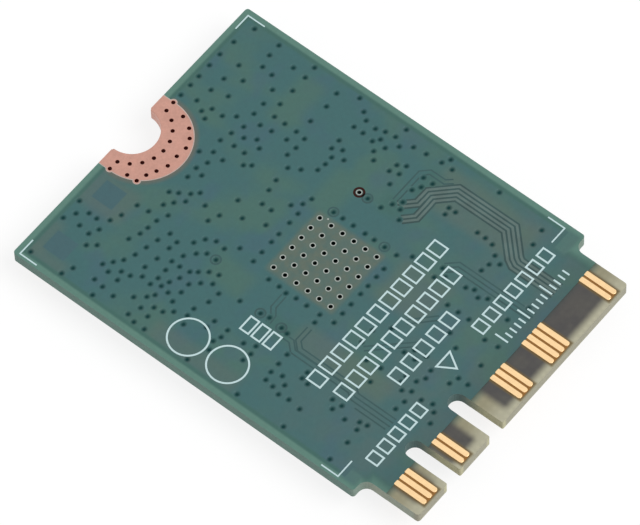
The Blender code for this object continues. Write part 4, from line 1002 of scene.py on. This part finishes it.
class CARD_OT_board(bpy.types.Operator):
    """Make the masked board: routed outline, bare tongue, half-moon, drilled and covered holes"""

    bl_idname = "card.board"
    bl_label = "Board"

    def bare_tongue(self, sizes, tones, front, back):
        """The cutter that bares the laminate of the connector on both faces."""
        laminate_back = laminate_material("bare glass epoxy", tones, BACK_PINS)
        laminate_front = laminate_material("bare glass epoxy, front", tones, FRONT_PINS)
        steps = bmesh.new()
        left, tip = spot(-HALF_WIDTH - 1.0, -1.0)
        mask_end = TIP_Y + sizes.mask_edge
        block(steps, (left, tip, BACK), (-left, mask_end, back))
        block(steps, (left, tip, front), (-left, mask_end, FRONT))
        for face in steps.faces:
            face.material_index = 1 if face.calc_center_median().z < (BACK + FRONT) / 2 else 0
        return close_shape("bare_tongue", steps, laminate_back, laminate_front)

    def dips(self, sizes, front, back, finish):
        """The cutter for the dips over the covered vias. On the component face it has only those beside
        the screw land, which are clear of the shield and the sockets."""
        dips = bmesh.new()
        rise = 0.002 * MM
        clear_x = LAND_RADIUS + 0.4
        clear_y = (FRAME_HIGH.y - TIP_Y) / MM + 0.5
        floor_radius = sizes.via_radius * VIA_FLOOR
        for x, y in COVERED_VIAS:
            low = back - sizes.via_depth
            drum(dips, x, y, sizes.via_radius, low, back + rise, DIP_SEGMENTS, floor_radius)
            if x > clear_x and y > clear_y:
                high = front + sizes.via_depth
                drum(dips, x, y, floor_radius, front - rise, high, DIP_SEGMENTS, sizes.via_radius)
        return close_shape("covered_vias", dips, finish)

    def execute(self, context):
        sizes = context.scene.card_sizes
        tones = context.scene.card_colours
        mask = mask_material(tones, sizes)
        edge = edge_material(tones)
        front, back = mask_faces(sizes)
        past = 1.0 * MM
        shape = plate(board_corners(), front, back)
        shape.normal_update()
        for face in shape.faces:
            face.material_index = 0 if abs(face.normal.z) > UPRIGHT else 1
        board = close_shape("circuit_board", shape, mask, edge)
        bare = self.bare_tongue(sizes, tones, front - past, back + past)
        seat = seat_cutter(front - past, back + past, SEAT_RADIUS, edge)
        sunk = self.dips(sizes, front, back, mask)
        barrel = barrel_material("tarnished copper barrel", tones.barrel)
        holes = drills(grid_vias() + [TEST_HOLE], sizes, barrel)
        stained = barrel_material("stained copper barrel", tones.land_barrel)
        land_holes = drills(seat_vias(), sizes, stained)
        helpers = (bare, seat, sunk, holes, land_holes)
        for helper in helpers:
            combine(board, helper, "DIFFERENCE").use_self = helper == sunk
        settle(board, *helpers)
        belong(board, "board", "printed_board")
        return {"FINISHED"}


class CARD_OT_copper(bpy.types.Operator):
    """Make the bare copper: screw lands with their plated half-moon, and rings round the bare holes"""

    bl_idname = "card.copper"
    bl_label = "Bare copper"

    def land(self, name, sizes, low, high, grow, finish):
        """One land: a round plate with straight sides up to the board's end and bulges at the vias."""
        radius = LAND_RADIUS + grow
        land = pegs(name, [LAND_CENTRE], radius * MM, low, high, 2 * ROUND_SEGMENTS, finish)
        sides = bmesh.new()
        left, start = spot(-radius, LAND_CENTRE[1])
        past_end = start + 2.0 * MM
        block(sides, (left, start, low), (-left, past_end, high))
        straight = close_shape("land_sides", sides, finish)
        outer = seat_vias()[SEAT_INNER_COUNT:]
        rounds = pegs("land_bulges", outer, sizes.bulge_radius + grow * MM, low, high, 24, finish)
        outline = close_shape("land_trim", plate(board_corners(), low - MM, high + MM), finish)
        seat = seat_cutter(low - 2 * MM, high + 2 * MM, SEAT_RADIUS, finish)
        combine(land, straight, "UNION")
        combine(land, rounds, "UNION").use_self = True
        combine(land, outline, "INTERSECT")
        combine(land, seat, "DIFFERENCE")
        return land, (straight, rounds, outline, seat)

    def execute(self, context):
        sizes = context.scene.card_sizes
        tones = context.scene.card_colours
        copper = copper_material(tones)
        rim = rim_material(tones)
        margin = sizes.land_margin / MM
        front, back = mask_faces(sizes)
        rise = 0.003 * MM
        pieces = (
            ("screw_land_back", BACK, back + 3 * rise, 0.0, copper, "copper"),
            ("screw_land_front", front - 3 * rise, FRONT, 0.0, copper, "copper"),
            ("land_rim_back", BACK, back + rise, margin, rim, "board"),
            ("land_rim_front", front - rise, FRONT, margin, rim, "board"),
        )
        barrel = barrel_material("stained copper barrel", tones.land_barrel)
        for name, low, high, grow, finish, slot in pieces:
            land, helpers = self.land(name, sizes, low, high, grow, finish)
            holes = drills(seat_vias(), sizes, barrel)
            combine(land, holes, "DIFFERENCE")
            settle(land, holes, *helpers)
            belong(land, slot)

        coat = 0.03
        outside = (SEAT_RADIUS + coat) * MM
        plating = pegs("seat_plating", [SEAT_CENTRE], outside, front, back, ROUND_SEGMENTS, copper)
        outline = close_shape("plating_trim", plate(board_corners(), front - MM, back + MM), copper)
        bore = seat_cutter(front - 2 * MM, back + 2 * MM, SEAT_RADIUS - coat, copper)
        combine(plating, outline, "INTERSECT")
        combine(plating, bore, "DIFFERENCE")
        settle(plating, outline, bore)
        belong(plating, "copper")

        rings = bmesh.new()
        middle = sizes.drill_radius + sizes.ring_width / 2
        for x, y in grid_vias() + [TEST_HOLE]:
            ring_stroke(rings, x, y, middle, BACK, back + rise, 20)
        ring_stroke(rings, *SPECK, sizes.ring_width / 2, BACK, back + rise, 12)
        belong(widened("via_rings", rings, sizes.ring_width, ring_material(tones)), "copper")
        return {"FINISHED"}


class CARD_OT_contacts(bpy.types.Operator):
    """Make the gold contacts on both faces of the tongue"""

    bl_idname = "card.contacts"
    bl_label = "Contacts"

    # Rounded corners at the tip and at the root, eased upper edges, and the depth let into the laminate
    TIP_RADIUS = 0.14
    ROOT_RADIUS = 0.05
    RIM_RADIUS = 0.012
    SINK = 0.01

    def row(self, name, runs, sizes, low, high, top, finish):
        """Contacts of one face, each rounded at the tip and eased along its upper edges."""
        shape = bmesh.new()
        tip = TIP_Y + sizes.contact_inset
        root = tip + sizes.contact_length
        half = sizes.contact_width / 2
        for first, last in runs:
            for pin in range(first, last + 1, 2):
                x = (pin - MIDDLE_PIN) * PIN_STEP * MM
                block(shape, (x - half, tip, low), (x + half, root, high))
        middle = (tip + root) / 2
        tips = [edge for edge in upright_edges(shape) if edge.verts[0].co.y < middle]
        roots = [edge for edge in upright_edges(shape) if edge.verts[0].co.y > middle]
        ease(shape, tips, self.TIP_RADIUS, 4)
        ease(shape, roots, self.ROOT_RADIUS, 2)
        near = 0.001 * MM
        rims = [
            edge for edge in shape.edges if all(abs(vert.co.z - top) < near for vert in edge.verts)
        ]
        ease(shape, rims, self.RIM_RADIUS, 2)
        belong(close_shape(name, shape, finish), "gold")

    def execute(self, context):
        sizes = context.scene.card_sizes
        gold = gold_material("hard gold plate", context.scene.card_colours, 0.32)
        sink = self.SINK * MM
        self.row("contacts_back", BACK_PINS, sizes, BACK - sink, BOARD_HIGH.z, BOARD_HIGH.z, gold)
        self.row("contacts_front", FRONT_PINS, sizes, BOARD_LOW.z, FRONT + sink, BOARD_LOW.z, gold)
        return {"FINISHED"}


class CARD_OT_tracks(bpy.types.Operator):
    """Make the copper tracks that show as ridges under the mask, and the darker gaps beside them"""

    bl_idname = "card.tracks"
    bl_label = "Tracks"

    # Heights over the mask go up in steps, so that strips that cross or lie on one another share no face
    HEIGHT_STEP = 0.0003
    LONE_GAP_STEPS = 2
    GAP_STEPS = 4
    LONE_TRACK_STEPS = 12
    TRACK_STEPS = 17

    # A well is a little wider than the dip under it, so no sliver of a strip stands in the dip
    WELL_GROWTH = 1.02

    COLLAR_RADIUS = 0.31
    COLLAR_WIDTH = 0.12
    MOAT_RADIUS = 0.3
    MOAT_WIDTH = 0.15

    def layer(self, name, strips, steps, sizes, finish):
        """A layer of strips, as (number, route, width), with the dips of the vias left open in it."""
        shape = bmesh.new()
        top = BACK + sizes.mask_thickness
        for number, route, width in strips:
            ribbon(shape, route, width, BACK, top + (number + steps) * self.HEIGHT_STEP * MM)
        made = close_shape(name, shape, finish)
        places = [(x, y) for x, y in COVERED_VIAS if y < TRACKS_END]
        depth = sizes.via_depth
        reach = sizes.via_radius * self.WELL_GROWTH
        wells = pegs(name + "_wells", places, reach, BACK - depth, BACK + depth, DIP_SEGMENTS, finish)
        combine(made, wells, "DIFFERENCE").use_self = True
        belong(settle(made, wells), "board")

    def ring(self, name, places, radius, width, segments, sizes, finish):
        """Flat rings round places of the board, on the mask."""
        shape = bmesh.new()
        top = BACK + sizes.mask_thickness + self.HEIGHT_STEP * MM
        for x, y in places:
            ring_stroke(shape, x, y, radius * MM, BACK, top, segments)
        belong(widened(name, shape, width * MM, finish), "board")

    def execute(self, context):
        sizes = context.scene.card_sizes
        tones = context.scene.card_colours
        pitch = sizes.track_pitch / MM
        width = sizes.track_width / MM
        tracks = []
        gaps = []
        for number, (route, count) in enumerate(TRACK_BUNDLES):
            gaps.append((number, route, (count + 1) * pitch - width))
            for index in range(count):
                path = offset_route(route, (index - (count - 1) / 2) * pitch)
                tracks.append((number, path, width))
        reach = (sizes.lone_width + 2 * sizes.lone_gap) / MM
        wide = [(number, route, sizes.lone_width / MM) for number, route in enumerate(LONE_TRACKS)]
        shores = [(number, route, reach) for number, route in enumerate(LONE_TRACKS)]
        mask = bpy.data.materials["green solder mask"]
        track = track_material("mask over a track", tones.track, 0.9, 1.1)
        gap = track_material("mask beside a track", tones.gap, 0.85, 1.15)
        shallow = track_material("mask in a shallow gap", tones.shallow, 0.9, 1.1)
        self.layer("tracks", tracks, self.TRACK_STEPS, sizes, track)
        self.layer("track_gaps", gaps, self.GAP_STEPS, sizes, gap)
        self.layer("lone_tracks", wide, self.LONE_TRACK_STEPS, sizes, mask)
        self.layer("lone_gaps", shores, self.LONE_GAP_STEPS, sizes, shallow)
        self.ring("via_collars", RINGED_VIAS, self.COLLAR_RADIUS, self.COLLAR_WIDTH, 24, sizes, shallow)
        dark = barrel_material("bare laminate in a moat", tones.moat)
        self.ring("test_moat", [TEST_HOLE], self.MOAT_RADIUS, self.MOAT_WIDTH, 32, sizes, dark)
        return {"FINISHED"}


class CARD_OT_ink(bpy.types.Operator):
    """Print the plain marks: corner brackets, target rings, blank boxes, ticks and an arrow"""

    bl_idname = "card.ink"
    bl_label = "Ink"

    def execute(self, context):
        sizes = context.scene.card_sizes
        low = BACK + sizes.mask_thickness / 2
        high = BACK + sizes.mask_thickness + sizes.ink_thickness
        ink = ink_material(context.scene.card_colours)
        corners = bmesh.new()
        for bracket in BRACKETS:
            stroke(corners, bracket, low, high)
        belong(widened("corner_brackets", corners, sizes.bracket_width, ink), "board")
        shape = bmesh.new()
        for x, y in TARGETS:
            ring_stroke(shape, x, y, TARGET_RADIUS * MM, low, high, ROUND_SEGMENTS)
        for (x, y), (width, height), (across, along), count in BOX_ROWS:
            for index in range(count):
                left, near = x + index * across, y + index * along
                right, far = left + width, near + height
                box = ((left, near), (right, near), (right, far), (left, far))
                stroke(shape, box, low, high, closed=True)
        (x, y), height, step, count = TICK_ROW
        for index in range(count):
            reach = height if index % TALL_TICK_STEP == 0 else height * LOW_TICK_SHARE
            stroke(shape, ((x + index * step, y), (x + index * step, y + reach)), low, high)
        stroke(shape, ARROW, low, high, closed=True)
        belong(widened("marking_ink", shape, sizes.ink_width, ink), "board")
        return {"FINISHED"}


class CARD_OT_shield(bpy.types.Operator):
    """Finish the shield's frame and lid, and solder the frame down"""

    bl_idname = "card.shield"
    bl_label = "Shield"

    # The line of solder: its middle from the frame's outside, its width and its corners' radius
    SOLDER_INSET = 0.14
    SOLDER_WIDTH = 0.55
    SOLDER_CORNER = 0.5

    def execute(self, context):
        tones = context.scene.card_colours
        dress(steel_material("tinned steel lid", tones, 0.28), "shield_lid")
        dress(steel_material("tinned steel frame", tones, 0.34), "shield_frame", "crystal_lid")
        shape = bmesh.new()
        inset = self.SOLDER_INSET * MM
        corners = (
            (FRAME_LOW.x + inset, FRAME_LOW.y + inset),
            (FRAME_HIGH.x - inset, FRAME_LOW.y + inset),
            (FRAME_HIGH.x - inset, FRAME_HIGH.y - inset),
            (FRAME_LOW.x + inset, FRAME_HIGH.y - inset),
        )
        wall(shape, corners, FRONT - COPPER, FRONT, closed=True)
        ease(shape, upright_edges(shape), self.SOLDER_CORNER, CORNER_SEGMENTS)
        solder = solder_material(tones)
        belong(widened("shield_solder", shape, self.SOLDER_WIDTH * MM, solder), "steel")
        return {"FINISHED"}


class CARD_OT_sockets(bpy.types.Operator):
    """Finish the two antenna sockets and lay the pads that they are soldered to"""

    bl_idname = "card.sockets"
    bl_label = "Antenna sockets"

    def execute(self, context):
        tones = context.scene.card_colours
        gold = gold_material("gold plated brass", tones, 0.26)
        moulding = moulding_material(tones)
        shape = bmesh.new()
        # Two pads reach under each shell's sides and past them, and a narrow one lies beyond its pin
        reach = 0.36 * MM
        pad = 0.62 * MM
        past = 0.06 * MM
        half = 0.2 * MM
        clearance = 0.3 * MM
        for socket in ("main_socket", "aux_socket"):
            dress(gold, socket + "_shell", socket + "_pin")
            dress(moulding, socket + "_base")
            low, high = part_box(socket + "_shell")
            middle = (low.y + high.y) / 2
            for x0, x1 in ((low.x - past, low.x + pad), (high.x - pad, high.x + past)):
                block(shape, (x0, middle - reach, FRONT - COPPER), (x1, middle + reach, FRONT))
            low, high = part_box(socket + "_pin")
            middle = (low.x + high.x) / 2
            start = high.y + clearance
            block(shape, (middle - half, start, FRONT - COPPER), (middle + half, start + pad, FRONT))
        belong(close_shape("socket_pads", shape, solder_material(tones)), "steel")
        return {"FINISHED"}


class CARD_OT_parts(bpy.types.Operator):
    """Finish the radio chip and the smaller parts inside the shield"""

    bl_idname = "card.parts"
    bl_label = "Parts in the shield"

    def execute(self, context):
        tones = context.scene.card_colours
        chips = ("radio_chip", "front_end_main", "front_end_aux", "memory_chip", "power_chip")
        dress(compound_material(tones), *chips)
        dress(copper_material(tones), "radio_heat_pad")
        tan = capped_material("tan ceramic chip", tones.tan_ceramic, "X", "capacitor_left_1")
        white = capped_material("white ceramic chip", tones.white_ceramic, "Y", "band_filter_main")
        ferrite = capped_material("grey ferrite chip", tones.ferrite, "Y", "power_inductor_a")
        for side in ("left", "right"):
            dress(tan, *(f"capacitor_{side}_{number}" for number in range(1, 7)))
        dress(white, "band_filter_main", "band_filter_aux")
        dress(ferrite, "power_inductor_a", "power_inductor_b")
        dress(moulding_material(tones), "crystal_base")
        return {"FINISHED"}


class CARD_OT_stage(bpy.types.Operator):
    """Set the white table, the soft light and the camera"""

    bl_idname = "card.stage"
    bl_label = "Stage"

    TABLE_SIZE = 0.8
    TABLE_DROP = 0.02
    TABLE_GLOW = 0.83
    PAPER = "#BBBBBB"
    PAPER_SEEN = "#7A7A7A"
    SKY_LIGHT = 0.5
    WINDOW_WAY = (-0.25, 0.75, -1.0)
    WINDOW_LIGHT = 1.72
    WINDOW_SPREAD = 40.0
    CAMERA_PLACE = (-153.013, -132.378, 344.135)
    CAMERA_AIM = (-0.2037, 0.2333, 2.3)
    CAMERA_ROLL = 2.2427
    CAMERA_LENS = 376.66

    def seen(self, tree):
        """1 for rays that show the surroundings themselves, and 0 for rays that gather light."""
        path = add_node(tree, "LightPath").node.outputs
        direct = {0: path["Is Camera Ray"], 1: path["Is Glossy Ray"]}
        either = add_node(tree, "Math", direct, operation="MAXIMUM")
        return add_node(tree, "Math", {0: either, 1: path["Is Transmission Ray"]}, operation="MAXIMUM")

    def table(self):
        """White paper lit from behind: plain white to the camera, with the card's shadow faint on it."""
        made, tree, place = new_material("back-lit white paper", Roughness=0.9, Specular_IOR_Level=0.0)
        seen = self.seen(tree)
        pulp = cloud(tree, place, 0.6, 0.99, 1.0)
        fibres = add_node(tree, "HueSaturation", {"Color": linear(self.PAPER), "Value": pulp})
        tones = {0: seen, 6: fibres, 7: linear(self.PAPER_SEEN)}
        tone = add_node(tree, "Mix", tones, 2, data_type="RGBA")
        feed(tree, Base_Color=tone)
        glow = add_node(tree, "MapRange", {0: seen, 3: 0.0, 4: self.TABLE_GLOW})
        glow = add_node(tree, "Emission", {"Strength": glow})
        total = add_node(tree, "AddShader", {0: tree.nodes["Principled BSDF"].outputs["BSDF"], 1: glow})
        tree.links.new(total, tree.nodes["Material Output"].inputs["Surface"])
        shape = bmesh.new()
        below = Matrix.Translation((0.0, 0.0, CAD_LOW.z - self.TABLE_DROP * MM))
        bmesh.ops.create_grid(shape, x_segments=8, y_segments=8, size=self.TABLE_SIZE / 2, matrix=below)
        keep_shape("table", shape, made)

    def sky(self, scene):
        """Even white light from all round; rays that would see it see plain white."""
        world = bpy.data.worlds.new("soft white room")
        world.use_nodes = True
        tree = world.node_tree
        strength = add_node(tree, "MapRange", {0: self.seen(tree), 3: self.SKY_LIGHT, 4: 1.0})
        back = tree.nodes["Background"]
        back.inputs["Color"].default_value = (1.0, 1.0, 1.0, 1.0)
        tree.links.new(strength, back.inputs["Strength"])
        scene.world = world

    def lamp(self, name, direction, strength, spread):
        """A distant lamp that shines along a direction, its shadows softened by its spread."""
        data = bpy.data.lights.new(name, "SUN")
        data.energy = strength
        data.angle = math.radians(spread)
        item = link(name, data)
        item.rotation_mode = "QUATERNION"
        item.rotation_quaternion = Vector(direction).to_track_quat("-Z", "Y")

    def camera(self, scene):
        """A long lens from the front left, high over the connector end, a little rolled."""
        data = bpy.data.cameras.new("camera")
        data.sensor_width = 36.0
        data.sensor_fit = "HORIZONTAL"
        data.lens = self.CAMERA_LENS
        data.clip_start = 0.01
        data.clip_end = 10.0
        item = link("camera", data)
        place = Vector(self.CAMERA_PLACE) * MM
        forward = Vector(self.CAMERA_AIM) * MM - place
        item.location = place
        item.rotation_mode = "QUATERNION"
        turn = Matrix.Rotation(math.radians(self.CAMERA_ROLL), 4, forward).to_quaternion()
        item.rotation_quaternion = turn @ forward.to_track_quat("-Z", "Y")
        scene.camera = item

    def execute(self, context):
        scene = context.scene
        self.table()
        self.sky(scene)
        self.lamp("window", self.WINDOW_WAY, self.WINDOW_LIGHT, self.WINDOW_SPREAD)
        self.camera(scene)
        scene.view_settings.view_transform = "Standard"
        return {"FINISHED"}


class CARD_PT_finishes(bpy.types.Panel):
    """Buttons and settings in the sidebar"""

    bl_idname = "CARD_PT_finishes"
    bl_label = "Wireless card"
    bl_space_type = "VIEW_3D"
    bl_region_type = "UI"
    bl_category = "Card"

    def draw(self, context):
        for step in STEPS:
            self.layout.operator(step.bl_idname)
        for group in (context.scene.card_sizes, context.scene.card_colours):
            for key in group.__annotations__:
                self.layout.prop(group, key)


STEPS = (
    CARD_OT_board,
    CARD_OT_copper,
    CARD_OT_contacts,
    CARD_OT_tracks,
    CARD_OT_ink,
    CARD_OT_shield,
    CARD_OT_sockets,
    CARD_OT_parts,
    CARD_OT_stage,
)
CLASSES = (CardSizes, CardColours, *STEPS, CARD_PT_finishes)


def register():
    """Make the classes and their settings known to Blender."""
    for item in CLASSES:
        bpy.utils.register_class(item)
    bpy.types.Scene.card_sizes = bpy.props.PointerProperty(type=CardSizes)
    bpy.types.Scene.card_colours = bpy.props.PointerProperty(type=CardColours)


def unregister():
    """Take the classes and their settings out of Blender again."""
    del bpy.types.Scene.card_colours
    del bpy.types.Scene.card_sizes
    for item in reversed(CLASSES):
        bpy.utils.unregister_class(item)


def main():
    """Make every piece in order."""
    register()
    for step in STEPS:
        group, name = step.bl_idname.split(".")
        getattr(getattr(bpy.ops, group), name)()


if __name__ == "__main__":
    main()
